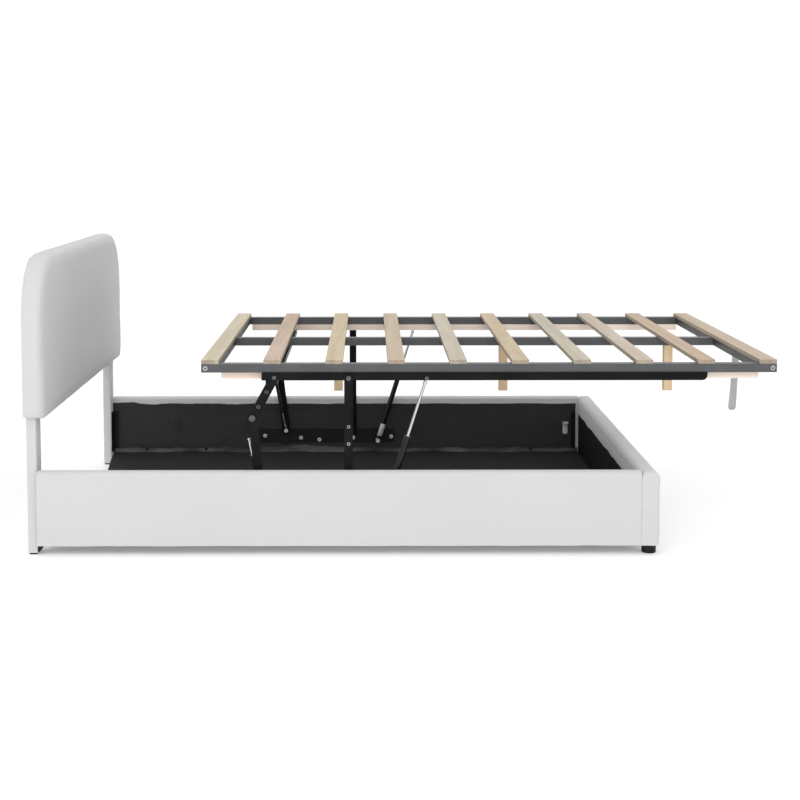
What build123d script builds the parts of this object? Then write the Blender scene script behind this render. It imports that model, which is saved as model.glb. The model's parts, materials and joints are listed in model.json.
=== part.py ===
from build123d import *
import os
from math import acos, asin, atan2, cos, degrees, hypot, radians, sin

# All lengths are millimetres. While a piece is modelled, X runs from the headboard's back face
# towards the foot end, Y = 0 is the bed's centre line, +Y is the sleeper's left, Z = 0 is the floor.
# The lift stands in its raised position.

# The platform's frame, which the box around it follows
frame_length = 1999.0
frame_width = 1495.0
frame_side_gap = 22.5
storage_spare_length = 90.0

# Box of upholstered panels
floor_clearance = 35.0
panel_height = 261.0
side_panel_thickness = 48.0
foot_panel_thickness = 63.0
padding = 14.0
skin = 1.5
underside_skin = 3.0
side_top_radius = 18.0
foot_top_radius = 25.0
panel_end_radius = 8.0
side_wrap = 31.0
foot_wrap = 79.0
end_return = 13.0

# Headboard and its two posts
headboard_overhang = 12.0
headboard_height = 564.0
headboard_thickness = 70.0
headboard_underside = 476.0
headboard_top_radius = 215.0
headboard_low_radius = 30.0
headboard_edge_radius = 23.0
headboard_back_radius = 5.0
headboard_core_thickness = 40.0
back_cloth_margin = 26.0
leg_setback = 4.0
leg_depth = 34.0
leg_width = 78.0
leg_inset = 16.0
leg_tenon = 150.0
leg_sleeve = 1.5
leg_glide_height = 6.0
leg_glide_inset = 4.0
rest_block_depth = 12.0
rest_block_width = 40.0
rest_block_height = 25.0
rest_block_cut = 7.0
leg_slot_gap = 0.5
headboard_bolt_distance = 90.0

# Feet, floor and brackets of the box
foot_glide_diameter = 50.0
foot_glide_inset_x = 28.0
foot_glide_inset_y = 50.0
glide_stem_diameter = 8.0
glide_stem_length = 22.0
stem_clearance = 0.3
floor_board_thickness = 8.0
floor_board_top = 45.0
floor_board_gap = 2.0
floor_board_head_gap = 50.0
ledge_width = 22.0
ledge_lip = 14.0
ledge_thickness = 1.5
ledge_end_gap = 30.0
floor_foot_diameter = 40.0
floor_foot_count = 4
floor_foot_offset = 257.0
leg_hole_margin = 8.0
bracket_thickness = 2.5
foot_bracket_width = 20.0
foot_bracket_low = 17.0
foot_bracket_height = 180.0
head_bracket_width = 26.0
head_bracket_reach = 44.0
bracket_bolt_margin = 20.0
rest_ledge_depth = 33.0
rest_bracket_width = 22.0
rest_bracket_height = 56.0
rest_bracket_inset = 59.0
running_gap = 0.3

# Lift linkage, as points in the side view
link_length = 500.0
lift_sweep = 84.0
front_pivot_setback = 1077.0
front_pivot_height = 77.0
rear_pivot_dx = -299.0
rear_pivot_dz = 37.0
knee_dx = -35.5
knee_dz = 322.0
rear_top_dx = -257.7
lever_tail_dx = -17.5
lever_tail_dz = -55.0
main_strut_foot_dx = 111.0
main_strut_foot_dz = -9.0
main_strut_top_dx = 271.0
main_strut_top_dz = -3.0
link_width = 30.0
link_flange_width = 7.5
link_flange_end = 167.0
link_flange_start = 8.0
lever_width = 32.0
rear_link_knee_radius = 14.0
rear_link_foot_radius = 18.0
lever_rivet_radius = 6.5
lever_rivet_height = 1.5
lever_rivet_shares = (0.35, 0.72)

# Sheet metal of the linkage, from the side panel's inner face inwards
base_plate_thickness = 4.0
front_link_thickness = 3.5
tab_thickness = 2.5
rear_link_thickness = 3.0
lever_thickness = 3.0
layer_gap = 0.5
base_plate_low = 56.0
base_plate_height = 61.0
base_plate_head_reach = 427.0
base_plate_foot_reach = 188.0
base_plate_radius = 14.0
# Mounting bolts of a base plate, from the front link's lower pivot
base_bolt_places = ((-395.0, 8.0), (-234.0, -2.0), (-151.0, -10.0), (171.0, 4.0))
# Two bolts on each front link, as shares of its length
link_bolt_shares = (0.54, 0.66)
tab_width = 40.0

# Pins, bolts and screws
pin_radius = 5.0
slim_pin_radius = 4.0
pin_clearance = 0.08
open_pivot_clearance = 0.6
pin_head_radius = 9.0
slim_head_radius = 8.5
pin_head_height = 3.0
ring_radius = 11.0
bolt_head_radius = 7.0
rivet_end_radius = 5.5
rivet_end_height = 0.3
bolt_head_height = 4.0
washer_radius = 8.5
washer_height = 1.2
socket_radius = 3.8
socket_depth = 2.0
screw_head_radius = 5.0
screw_head_height = 2.5

# Gas struts
strut_plane_inset = 34.0
main_cylinder_radius = 11.0
main_cylinder_length = 315.0
main_rod_radius = 5.0
main_rod_overlap = 36.0
small_cylinder_radius = 7.5
small_rod_radius = 3.5
small_rod_exposed = 80.0
small_rod_overlap = 40.0
strut_wall = 1.5
strut_end_wall = 3.0
strut_eye_thickness = 6.0
strut_eye_radius = 8.0
main_top_eye_radius = 7.0
strut_neck_radius = 2.5
strut_neck_gap = 2.0
strut_fitting_length = 12.0
rod_clearance = 0.1
piston_height = 12.0

# Sprung bed platform
frame_head_reach = 511.0
frame_lift = 17.5
tube_width = 40.0
tube_height = 30.0
tube_wall = 1.5
plug_depth = 25.0
end_rail_inset = 16.0
slat_count = 10
slat_width = 60.0
slat_thickness = 15.0
slat_edge_radius = 1.5
slat_screw_head_radius = 4.0
slat_screw_head_height = 2.0
slat_screw_radius = 2.0
slat_screw_sink = 0.2
slat_screw_fit = 0.15
rail_thickness = 4.0
rail_flange_thickness = 3.0
rail_drop = 27.0
rail_lip = 1.5
rail_flange_width = 22.0
rail_head_reach = 302.0
rail_length = 1548.0
rail_corner_radius = 18.0
cross_bar_width = 40.0
cross_bar_height = 20.0
cross_bar_offset = -10.5
batten_width = 27.0
batten_height = 24.5
batten_head_inset = 67.0
batten_foot_inset = 58.0
batten_overlap = 14.5
centre_leg_side = 34.0
centre_leg_first = 461.0
centre_leg_last = 232.0
centre_leg_count = 3
centre_leg_edge_radius = 2.0
centre_leg_floor_gap = 1.0
frame_bolt_inset = 14.5
strap_width = 25.0
strap_length = 222.0
strap_thickness = 6.0
strap_end_inset = 4.5
strap_offset_y = 227.0
strap_sway = 11.0
strap_middle_sway = 4.0
strap_slit = 1.2

# One overrun for every through cut
overrun = 1.0

# Places worked out from the sizes above
storage_width = frame_width + 2 * frame_side_gap
side_panel_length = frame_length + storage_spare_length
x_panel_head = leg_setback + leg_depth
x_foot_inner = x_panel_head + side_panel_length
x_foot_outer = x_foot_inner + foot_panel_thickness
y_inner = storage_width / 2
y_outer = y_inner + side_panel_thickness
headboard_width = 2 * (y_outer + headboard_overhang)
y_leg = y_inner - leg_inset
z_under = floor_clearance
z_rim = z_under + panel_height

front_pivot = (x_panel_head + front_pivot_setback, z_under + front_pivot_height)
link_top = (front_pivot[0], front_pivot[1] + link_length)
rear_pivot = (front_pivot[0] + rear_pivot_dx, front_pivot[1] + rear_pivot_dz)
knee = (rear_pivot[0] + knee_dx, rear_pivot[1] + knee_dz)
rear_top = (link_top[0] + rear_top_dx, link_top[1])
lever_tail = (knee[0] + lever_tail_dx, knee[1] + lever_tail_dz)
main_strut_foot = (front_pivot[0] + main_strut_foot_dx, front_pivot[1] + main_strut_foot_dz)
main_strut_top = (link_top[0] + main_strut_top_dx, link_top[1] + main_strut_top_dz)

travel_x = link_length * sin(radians(lift_sweep))
travel_z = link_length * (1 - cos(radians(lift_sweep)))

z_frame = link_top[1] + frame_lift
z_slats = z_frame + tube_height
x_frame_head = link_top[0] - frame_head_reach
x_frame_foot = x_frame_head + frame_length
y_frame = frame_width / 2

y_plate = y_inner - base_plate_thickness
y_front_link = y_plate - layer_gap - front_link_thickness
y_tab = y_front_link - layer_gap - tab_thickness
y_rear_link = y_tab - layer_gap - rear_link_thickness
y_lever = y_rear_link - layer_gap - lever_thickness
y_rail = y_frame + rail_thickness
y_strut = y_inner - strut_plane_inset
y_eye_in = y_strut - strut_eye_thickness / 2
y_eye_out = y_strut + strut_eye_thickness / 2

# The origin lies under the middle of the raised bed's length
to_origin = Pos(-x_frame_foot / 2, 0, 0)


def block(x0, x1, y0, y1, z0, z1):
    return Pos((x0 + x1) / 2, (y0 + y1) / 2, (z0 + z1) / 2) * Box(x1 - x0, y1 - y0, z1 - z0)


def right_of(shape):
    return mirror(shape, about=Plane.XZ)


def both_sides(*shapes):
    return list(shapes) + [right_of(shape) for shape in shapes]


def edges_along(shape, axis, **near):
    """Edges of a shape that run along an axis and lie on the given coordinates."""
    found = shape.edges().filter_by(axis)
    for name, value in near.items():
        found = [e for e in found if abs(getattr(e.center(), name) - value) < overrun / 10]
    return found


def plate(sketch, y0, y1):
    """A plate cut from a side-view sketch, between two distances from the centre line."""
    return Pos(0, y1, 0) * extrude(Plane.XZ * sketch, amount=y1 - y0)


def disc(point, radius):
    return Pos(*point) * Circle(radius)


def tapered_bar(p, p_radius, q, q_radius):
    """Side-view outline of a bar with round ends of two radii."""
    length = hypot(q[0] - p[0], q[1] - p[1])
    ux, uz = (q[0] - p[0]) / length, (q[1] - p[1]) / length
    along = (p_radius - q_radius) / length
    across = cos(asin(along))
    corners = []
    for side, ends in ((-1, ((p, p_radius), (q, q_radius))), (1, ((q, q_radius), (p, p_radius)))):
        nx, nz = along * ux - side * across * uz, along * uz + side * across * ux
        corners += [(c[0] + r * nx, c[1] + r * nz) for c, r in ends]
    return Polygon(*corners, align=None) + disc(p, p_radius) + disc(q, q_radius)


def stud(point, radius, y0, y1):
    return Pos(point[0], (y0 + y1) / 2, point[1]) * Rot(90, 0, 0) * Cylinder(radius, y1 - y0)


def bolt_head(point, y_face, inwards=True):
    """A washer and a socket head against a face that looks towards or away from the centre line."""
    side = -1 if inwards else 1
    y_washer = y_face + side * washer_height
    y_head = y_washer + side * bolt_head_height
    washer = stud(point, washer_radius, min(y_face, y_washer), max(y_face, y_washer))
    head = stud(point, bolt_head_radius, min(y_washer, y_head), max(y_washer, y_head))
    return washer + head - socket(point, y_head, -side)


def socket(point, y_face, outwards=1):
    """The hexagon for a key in a head's face. The head lies outwards of that face, or inwards."""
    ends = (y_face - outwards * overrun, y_face + outwards * socket_depth)
    return plate(Pos(*point) * RegularPolygon(socket_radius, 6), min(ends), max(ends))


def save(name, *shapes):
    """Write the solids of one node, shifted to the part's origin."""
    solids = [solid for shape in shapes for solid in (to_origin * shape).solids()]
    export_step(Compound(children=solids), os.path.join("parts", name + ".step"))


def headboard_outline(inset):
    """Front view of the headboard, drawn in by an even margin."""
    width = headboard_width - 2 * inset
    height = headboard_height - 2 * inset
    shape = Rectangle(width, height)
    shape = fillet(shape.vertices().group_by(Axis.Y)[-1], headboard_top_radius - inset)
    low_radius = max(headboard_low_radius - inset, headboard_back_radius)
    shape = fillet(shape.vertices().group_by(Axis.Y)[0], low_radius)
    return Pos(0, headboard_underside + headboard_height / 2) * shape


def headboard_slab(inset, x0, x1):
    return Pos(x0, 0, 0) * extrude(Plane.YZ * headboard_outline(inset), amount=x1 - x0)


def leg_block(grow, z0, z1):
    half = leg_width / 2 + grow
    return block(leg_setback - grow, leg_setback + leg_depth + grow, y_leg - half, y_leg + half, z0, z1)


def make_headboard():
    z_tenon = headboard_underside + leg_tenon
    slots = both_sides(leg_block(leg_slot_gap, 0, z_tenon + leg_slot_gap))
    y0 = y_leg - leg_width / 2 - leg_slot_gap
    y1 = y_leg + leg_width / 2 + leg_slot_gap
    slot_backs = both_sides(block(-overrun, leg_setback, y0, y1, 0, z_tenon + leg_slot_gap))
    x_core_front = skin + headboard_core_thickness
    core = headboard_slab(padding, skin, x_core_front)
    cover = headboard_slab(0, 0, headboard_thickness)
    cover = fillet(cover.faces().sort_by(Axis.X)[-1].edges(), headboard_edge_radius)
    cover = fillet(cover.faces().sort_by(Axis.X)[0].edges(), headboard_back_radius)
    cover -= headboard_slab(padding, skin, x_core_front)
    cover -= headboard_slab(back_cloth_margin, -overrun, skin)
    cloth = headboard_slab(back_cloth_margin, 0, skin)
    for cut in slots + slot_backs:
        core -= cut
        cover -= cut
        cloth -= cut
    save("headboard_core", core)
    save("headboard_cover", cover)
    save("headboard_back_cloth", cloth)

    bolts = []
    for side in (-1, 1):
        z_bolt = headboard_underside + leg_tenon / 2 + side * headboard_bolt_distance / 2
        head = Rot(0, 90, 0) * Cylinder(bolt_head_radius, leg_setback)
        bolts += both_sides(Pos(leg_setback / 2, y_leg, z_bolt) * head)
    save("headboard_bolts", *bolts)


def make_headboard_legs():
    z_tenon = headboard_underside + leg_tenon
    post = leg_block(-leg_sleeve, leg_glide_height, z_tenon)
    sleeve = leg_block(0, leg_glide_height, z_tenon) - leg_block(-leg_sleeve, 0, z_tenon + overrun)
    glide = leg_block(-leg_glide_inset, 0, leg_glide_height)
    save("headboard_legs", *both_sides(post))
    save("leg_covers", *both_sides(sleeve))
    # A black block on each leg carries the head end of the side panel
    x0, x1 = x_panel_head, x_panel_head + rest_block_depth
    y1 = y_leg + leg_width / 2
    z0 = z_under - rest_block_height
    rest = block(x0, x1, y1 - rest_block_width, y1, z0, z_under)
    rest = chamfer(edges_along(rest, Axis.Y, X=x1, Z=z0), rest_block_cut)
    save("leg_glides", *both_sides(glide, rest))


def make_side_panels():
    x0, x1 = x_panel_head, x_foot_inner
    shell = block(x0, x1, y_inner, y_outer, z_under, z_rim)
    shell = fillet(edges_along(shell, Axis.X, Z=z_rim), side_top_radius)
    core = block(x0 + skin, x1 - skin, y_inner + skin, y_outer - padding, z_under + underside_skin,
                 z_rim - padding)
    liner = block(x0 + skin, x1 - end_return, y_inner, y_inner + skin, z_under, z_rim - side_wrap)
    save("side_panel_core_left", core)
    save("side_panel_core_right", right_of(core))
    save("side_panel_cover_left", shell - core - liner)
    save("side_panel_cover_right", right_of(shell - core - liner))
    save("side_panel_liners", *both_sides(liner))


def make_foot_panel():
    x0, x1 = x_foot_inner, x_foot_outer
    shell = block(x0, x1, -y_outer, y_outer, z_under, z_rim)
    shell = fillet(edges_along(shell, Axis.Z, X=x1), panel_end_radius)
    shell = fillet(edges_along(shell, Axis.Y, X=x0, Z=z_rim), foot_top_radius)
    shell = fillet(edges_along(shell, Axis.Y, X=x1, Z=z_rim), foot_top_radius)
    core = block(x0 + skin, x1 - padding, padding - y_outer, y_outer - padding, z_under + underside_skin,
                 z_rim - foot_top_radius)
    liner = block(x0, x0 + skin, -y_inner, y_inner, z_under, z_rim - foot_wrap)
    glide_points = [(x1 - foot_glide_inset_x, s * (y_outer - foot_glide_inset_y)) for s in (-1, 1)]
    glides = []
    cover = shell - core - liner
    for x, y in glide_points:
        stem_hole = Pos(x, y, z_under) * Cylinder(glide_stem_diameter / 2 + stem_clearance,
                                                  2 * glide_stem_length + 2 * stem_clearance)
        core -= stem_hole
        cover -= stem_hole
        body = Pos(x, y, z_under / 2) * Cylinder(foot_glide_diameter / 2, z_under)
        body = chamfer(body.faces().sort_by(Axis.Z)[0].edges(), underside_skin)
        stem = Cylinder(glide_stem_diameter / 2, glide_stem_length)
        stem = Pos(x, y, z_under + glide_stem_length / 2) * stem
        glides.append(body + stem)
    save("foot_panel_core", core)
    save("foot_panel_cover", cover)
    save("foot_panel_liner", liner)
    save("foot_glides", *glides)


def make_corner_brackets():
    z0 = z_under + foot_bracket_low
    z1 = z0 + foot_bracket_height
    x1 = x_foot_inner - end_return
    foot_plate = block(x1 - foot_bracket_width, x1, y_inner - bracket_thickness, y_inner, z0, z1)
    x0 = x_panel_head
    head_angle = block(x0, x0 + head_bracket_width, y_inner - bracket_thickness, y_inner, z0, z1)
    head_angle += block(x0, x0 + bracket_thickness, y_inner - head_bracket_reach, y_inner, z0, z1)
    save("corner_brackets", *both_sides(foot_plate, head_angle))
    bolts = []
    x_foot_bolt = x1 - foot_bracket_width / 2
    x_head_bolt = x0 + head_bracket_width - foot_bracket_width / 2
    for z in (z0 + bracket_bolt_margin, z1 - bracket_bolt_margin):
        for x in (x_foot_bolt, x_head_bolt):
            bolts += both_sides(bolt_head((x, z), y_inner - bracket_thickness))
    save("corner_bolts", *bolts)


def make_rest_brackets():
    z_ledge = z_frame - travel_z - running_gap
    x = x_foot_inner - rest_bracket_inset
    x0, x1 = x - rest_bracket_width / 2, x + rest_bracket_width / 2
    z_low = z_ledge - rest_bracket_height + rest_bracket_width / 2
    y_face = y_inner - bracket_thickness
    bracket = block(x0, x1, y_face, y_inner, z_low, z_ledge)
    bracket += stud((x, z_low), rest_bracket_width / 2, y_face, y_inner)
    bracket += block(x0, x1, y_inner - rest_ledge_depth, y_inner, z_ledge - bracket_thickness, z_ledge)
    save("rest_brackets", *both_sides(bracket))
    screw = stud((x, z_low), screw_head_radius, y_face - screw_head_height, y_face)
    save("rest_bracket_screws", *both_sides(screw))


def centre_leg_places():
    """Centre lines of the platform's middle legs when the lift is up."""
    first = x_frame_head + centre_leg_first
    step = (x_frame_foot - centre_leg_last - first) / (centre_leg_count - 1)
    return [first + k * step for k in range(centre_leg_count)]


def make_storage_floor():
    z0, z1 = floor_board_top - floor_board_thickness, floor_board_top
    y_edge = y_inner - floor_board_gap
    x0 = x_panel_head + floor_board_head_gap
    board = block(x0, x_foot_inner - floor_board_gap, -y_edge, y_edge, z0, z1)
    # A leg comes down along an arc, so its hole is longer towards the foot end
    drop_left = travel_z - (z_frame - centre_leg_length() - floor_board_top)
    swing = travel_x - link_length * sin(radians(lift_sweep_when(travel_z - drop_left)))
    half = centre_leg_side / 2 + leg_hole_margin
    for x_raised in centre_leg_places():
        x = x_raised - travel_x
        board -= block(x - half, x + half + swing, -half, half, z0 - overrun, z1 + overrun)
    save("storage_floor", board)

    y_ledge = y_inner - ledge_width
    x0 = x_panel_head + ledge_end_gap
    x1 = x_foot_inner - ledge_end_gap
    ledge = block(x0, x1, y_ledge, y_inner, z0 - ledge_thickness, z0)
    lip = block(x0, x1, y_inner - ledge_thickness, y_inner, z0 - ledge_thickness, z0 + ledge_lip)
    save("floor_ledges", *both_sides(ledge + lip))

    feet = []
    step = side_panel_length / floor_foot_count
    for k in range(floor_foot_count):
        x = x_panel_head + step * (k + 1 / 2)
        for side in (-1, 1):
            foot = Pos(x, side * floor_foot_offset, z0 / 2) * Cylinder(floor_foot_diameter / 2, z0)
            feet.append(chamfer(foot.faces().sort_by(Axis.Z)[0].edges(), underside_skin))
    save("floor_feet", *feet)


def centre_leg_length():
    return z_frame - travel_z - centre_leg_floor_gap


def lift_sweep_when(drop):
    """Angle in degrees through which the links have turned when the platform has come down by drop."""
    return degrees(acos(1 - drop / link_length))


def make_base_plates():
    x0 = front_pivot[0] - base_plate_head_reach
    x1 = front_pivot[0] + base_plate_foot_reach
    z0 = z_under + base_plate_low
    z1 = z0 + base_plate_height
    outline = Pos((x0 + x1) / 2, (z0 + z1) / 2) * RectangleRounded(x1 - x0, z1 - z0, base_plate_radius)
    wall = plate(outline, y_plate, y_inner)
    # The rear pivot stands on a tab folded up from the plate's lower edge, so that the front link
    # can lie between tab and plate when the lift is down
    x0, x1 = rear_pivot[0] - tab_width / 2, rear_pivot[0] + tab_width / 2
    fold = block(x0, x1, y_tab, y_inner, z0 - tab_thickness, z0)
    fold += block(x0, x1, y_plate, y_inner, z0 - tab_thickness, z0 + base_plate_radius)
    foot = Polygon((x0, z0 - tab_thickness), (x1, z0 - tab_thickness),
                   (rear_pivot[0] + rear_link_foot_radius, rear_pivot[1]),
                   (rear_pivot[0] - rear_link_foot_radius, rear_pivot[1]), align=None)
    tab = plate(foot + disc(rear_pivot, rear_link_foot_radius), y_tab, y_tab + tab_thickness)
    save("base_plates", *both_sides(wall + fold + tab))

    heads = []
    for dx, dz in base_bolt_places:
        heads += both_sides(bolt_head((front_pivot[0] + dx, front_pivot[1] + dz), y_plate))
    save("base_plate_bolts", *heads)

    head_low = y_front_link - layer_gap - pin_head_height
    front_pin = stud(front_pivot, pin_radius, y_front_link - layer_gap, y_plate)
    front_pin += stud(front_pivot, pin_head_radius, head_low, y_front_link - layer_gap)
    front_pin -= socket(front_pivot, head_low)
    y_cap = y_eye_in - layer_gap
    rear_pin = stud(rear_pivot, slim_pin_radius, y_cap, y_tab)
    rear_pin += stud(rear_pivot, slim_head_radius, y_cap - pin_head_height, y_cap)
    rear_pin -= socket(rear_pivot, y_cap - pin_head_height)
    strut_pin = stud(main_strut_foot, pin_radius, y_cap, y_plate)
    strut_pin += stud(main_strut_foot, pin_head_radius, y_cap - pin_head_height, y_cap)
    strut_pin -= socket(main_strut_foot, y_cap - pin_head_height)
    collar = stud(main_strut_foot, pin_head_radius, y_eye_out + layer_gap, y_plate)
    save("base_pivot_pins", *both_sides(front_pin, rear_pin, strut_pin + collar))


def make_front_links():
    hole = pin_radius + pin_clearance
    outline = tapered_bar(front_pivot, link_width / 2, link_top, link_width / 2)
    outline -= disc(front_pivot, hole)
    outline -= disc(link_top, hole)
    bar = plate(outline, y_front_link, y_front_link + front_link_thickness)
    x1 = front_pivot[0] + link_width / 2
    y0 = y_front_link + front_link_thickness
    y1 = y_front_link + link_flange_width
    z0 = link_top[1] - link_flange_end
    z1 = link_top[1] - link_flange_start
    flange = block(x1 - front_link_thickness, x1, y0, y1, z0, z1)
    save("front_links", *both_sides(bar + flange))
    heads = []
    for share in link_bolt_shares:
        spot = (front_pivot[0], front_pivot[1] + share * link_length)
        head = stud(spot, bolt_head_radius, y_front_link - pin_head_height, y_front_link)
        head -= socket(spot, y_front_link - pin_head_height)
        rivet = stud(spot, rivet_end_radius, y0, y0 + rivet_end_height)
        rivet -= socket(spot, y0 + rivet_end_height, -1)
        heads += both_sides(head, rivet)
    save("front_link_bolts", *heads)


def make_rear_links():
    outline = tapered_bar(knee, rear_link_knee_radius, rear_pivot, rear_link_foot_radius)
    outline -= disc(rear_pivot, slim_pin_radius + pin_clearance)
    link = plate(outline, y_rear_link, y_rear_link + rear_link_thickness)
    save("rear_links", *both_sides(link))
    y_head = y_lever - layer_gap
    inner = stud(knee, pin_radius, y_head, y_rear_link)
    inner += stud(knee, ring_radius, y_head - pin_head_height, y_head)
    y_out = y_rear_link + rear_link_thickness
    outer = stud(knee, ring_radius, y_out, y_out + pin_head_height)
    save("knee_pins", *both_sides(inner, outer))


def make_rear_levers():
    half = lever_width / 2
    outline = tapered_bar(rear_top, half, knee, half) + tapered_bar(knee, half, lever_tail, half)
    outline -= disc(knee, pin_radius + pin_clearance)
    lever = plate(outline, y_lever, y_lever + lever_thickness)
    save("rear_levers", *both_sides(lever))
    y_cap = y_eye_in - layer_gap
    tail = stud(lever_tail, slim_pin_radius, y_cap, y_lever)
    tail += stud(lever_tail, slim_head_radius, y_cap - pin_head_height, y_cap)
    tail += stud(lever_tail, slim_head_radius, y_eye_out + layer_gap, y_lever)
    y_face = y_lever + lever_thickness
    head = stud(rear_top, bolt_head_radius, y_face, y_face + pin_head_height)
    rings = []
    for share in lever_rivet_shares:
        spot = [high + share * (low - high) for high, low in zip(rear_top, knee)]
        ring = stud(spot, lever_rivet_radius, y_face, y_face + lever_rivet_height)
        rings += both_sides(ring - socket(spot, y_face + lever_rivet_height, -1))
    save("lever_studs", *both_sides(tail, head), *rings)


def ring_eye(z, radius, hole_radius):
    """An eye at the end of a strut, with its hole across the strut."""
    ring = Cylinder(radius, strut_eye_thickness) - Cylinder(hole_radius, strut_eye_thickness)
    return Pos(0, 0, z) * Rot(90, 0, 0) * ring


def strut_cylinder(length, radius, rod_radius, eye_radius, hole_radius):
    """A strut's cylinder with its eye at the origin, standing along Z."""
    start = pin_head_radius + strut_neck_gap
    neck_low = eye_radius - strut_wall
    neck = Pos(0, 0, (neck_low + start) / 2) * Cylinder(strut_neck_radius, start - neck_low)
    tube = Pos(0, 0, (start + length) / 2) * Cylinder(radius, length - start)
    bore_low = start + strut_end_wall
    bore_high = length - strut_end_wall
    bore = Pos(0, 0, (bore_low + bore_high) / 2) * Cylinder(radius - strut_wall, bore_high - bore_low)
    guide = Pos(0, 0, length) * Cylinder(rod_radius + rod_clearance, 2 * strut_end_wall + overrun)
    return (tube - bore - guide) + neck + ring_eye(0, eye_radius, hole_radius)


def strut_rod(length, reach, radius, bore_radius, eye_radius, hole_radius):
    """A strut's rod with its eye at the given length, reaching down towards the origin."""
    low = length - reach
    top = length - pin_head_radius - strut_neck_gap
    rod = Pos(0, 0, (low + top) / 2) * Cylinder(radius, top - low)
    fitting_radius = radius + strut_wall
    fitting = Pos(0, 0, top - strut_fitting_length / 2) * Cylinder(fitting_radius, strut_fitting_length)
    neck_high = length - eye_radius + strut_wall
    neck = Pos(0, 0, (top + neck_high) / 2) * Cylinder(strut_neck_radius, neck_high - top)
    piston = Pos(0, 0, low + piston_height / 2) * Cylinder(bore_radius - rod_clearance, piston_height)
    return rod + fitting + neck + piston + ring_eye(length, eye_radius, hole_radius)


def stand(shape, foot, top, turned=False):
    """Stand a strut piece made along Z between two pivots, in the struts' own plane."""
    angle = degrees(atan2(top[0] - foot[0], top[1] - foot[1]))
    if turned:
        return Pos(top[0], y_strut, top[1]) * Rot(0, angle + 180, 0) * shape
    return Pos(foot[0], y_strut, foot[1]) * Rot(0, angle, 0) * shape


def make_small_struts():
    length = hypot(lever_tail[0] - rear_pivot[0], lever_tail[1] - rear_pivot[1])
    body_length = length - small_rod_exposed
    reach = small_rod_exposed + small_rod_overlap
    bore = small_cylinder_radius - strut_wall
    snug = slim_pin_radius + pin_clearance
    loose = slim_pin_radius + open_pivot_clearance
    cylinder_sizes = (body_length, small_cylinder_radius, small_rod_radius, strut_eye_radius)
    rod_sizes = (length, reach, small_rod_radius, bore, strut_eye_radius)
    low_cylinder = strut_cylinder(*cylinder_sizes, snug)
    high_rod = strut_rod(*rod_sizes, loose)
    high_cylinder = strut_cylinder(*cylinder_sizes, loose)
    low_rod = strut_rod(*rod_sizes, snug)
    ends = (rear_pivot, lever_tail)
    save("small_strut_cylinder_right", right_of(stand(low_cylinder, *ends)))
    save("small_strut_rod_right", right_of(stand(high_rod, *ends)))
    save("small_strut_cylinder_left", stand(high_cylinder, *ends, turned=True))
    save("small_strut_rod_left", stand(low_rod, *ends, turned=True))


def make_main_struts():
    foot, top = main_strut_foot, main_strut_top
    length = hypot(top[0] - foot[0], top[1] - foot[1])
    reach = length - main_cylinder_length + main_rod_overlap
    bore = main_cylinder_radius - strut_wall
    cylinder = strut_cylinder(main_cylinder_length, main_cylinder_radius, main_rod_radius, strut_eye_radius,
                              pin_radius + pin_clearance)
    rod = strut_rod(length, reach, main_rod_radius, bore, main_top_eye_radius, slim_pin_radius)
    boss = stud(top, slim_pin_radius, y_eye_in, y_frame - running_gap)
    boss += stud(top, main_top_eye_radius - running_gap, y_eye_out, y_frame - running_gap)
    save("main_strut_cylinders", *both_sides(stand(cylinder, foot, top)))
    save("main_strut_rods", *both_sides(stand(rod, foot, top) + boss))


def tube_along_x(x0, x1, y_mid):
    half = tube_width / 2
    bore = half - tube_wall
    outer = block(x0, x1, y_mid - half, y_mid + half, z_frame, z_slats)
    return outer - block(x0 - overrun, x1 + overrun, y_mid - bore, y_mid + bore, z_frame + tube_wall,
                         z_slats - tube_wall)


def tube_along_y(x_mid, y0, y1):
    half = tube_width / 2
    bore = half - tube_wall
    outer = block(x_mid - half, x_mid + half, y0, y1, z_frame, z_slats)
    return outer - block(x_mid - bore, x_mid + bore, y0 - overrun, y1 + overrun, z_frame + tube_wall,
                         z_slats - tube_wall)


def make_frame():
    y_side = y_frame - tube_width / 2
    x_head_rail = x_frame_head + end_rail_inset + tube_width / 2
    x_foot_rail = x_frame_foot - end_rail_inset - tube_width / 2
    y_end = y_frame - tube_width
    save("side_rails", *both_sides(tube_along_x(x_frame_head, x_frame_foot, y_side)))
    save("end_rails", tube_along_y(x_head_rail, -y_end, y_end), tube_along_y(x_foot_rail, -y_end, y_end))
    save("middle_rail", tube_along_x(x_head_rail + tube_width / 2, x_foot_rail - tube_width / 2, 0))
    plugs = []
    for x in (x_frame_head, x_frame_foot - plug_depth):
        y0, y1 = y_frame - tube_width + tube_wall, y_frame - tube_wall
        plug = block(x, x + plug_depth, y0, y1, z_frame + tube_wall, z_slats - tube_wall)
        plugs += both_sides(plug)
    save("rail_end_plugs", *plugs)
    heads = []
    for x in (x_frame_head + frame_bolt_inset, x_frame_foot - frame_bolt_inset):
        heads += both_sides(bolt_head((x, z_frame + tube_height / 2), y_frame, inwards=False))
    save("frame_bolts", *heads)


def slat_screw(x, y, grow, z_top):
    """A screw that stands in a slat's top face, or its hole where grow is the room round it."""
    z_seat = z_slats + slat_thickness - slat_screw_sink - slat_screw_head_height
    head = Pos(x, y, (z_seat + z_top) / 2) * Cylinder(slat_screw_head_radius + grow, z_top - z_seat)
    shank = Pos(x, y, (z_slats + z_seat) / 2) * Cylinder(slat_screw_radius + grow, z_seat - z_slats)
    return head + shank


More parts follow.
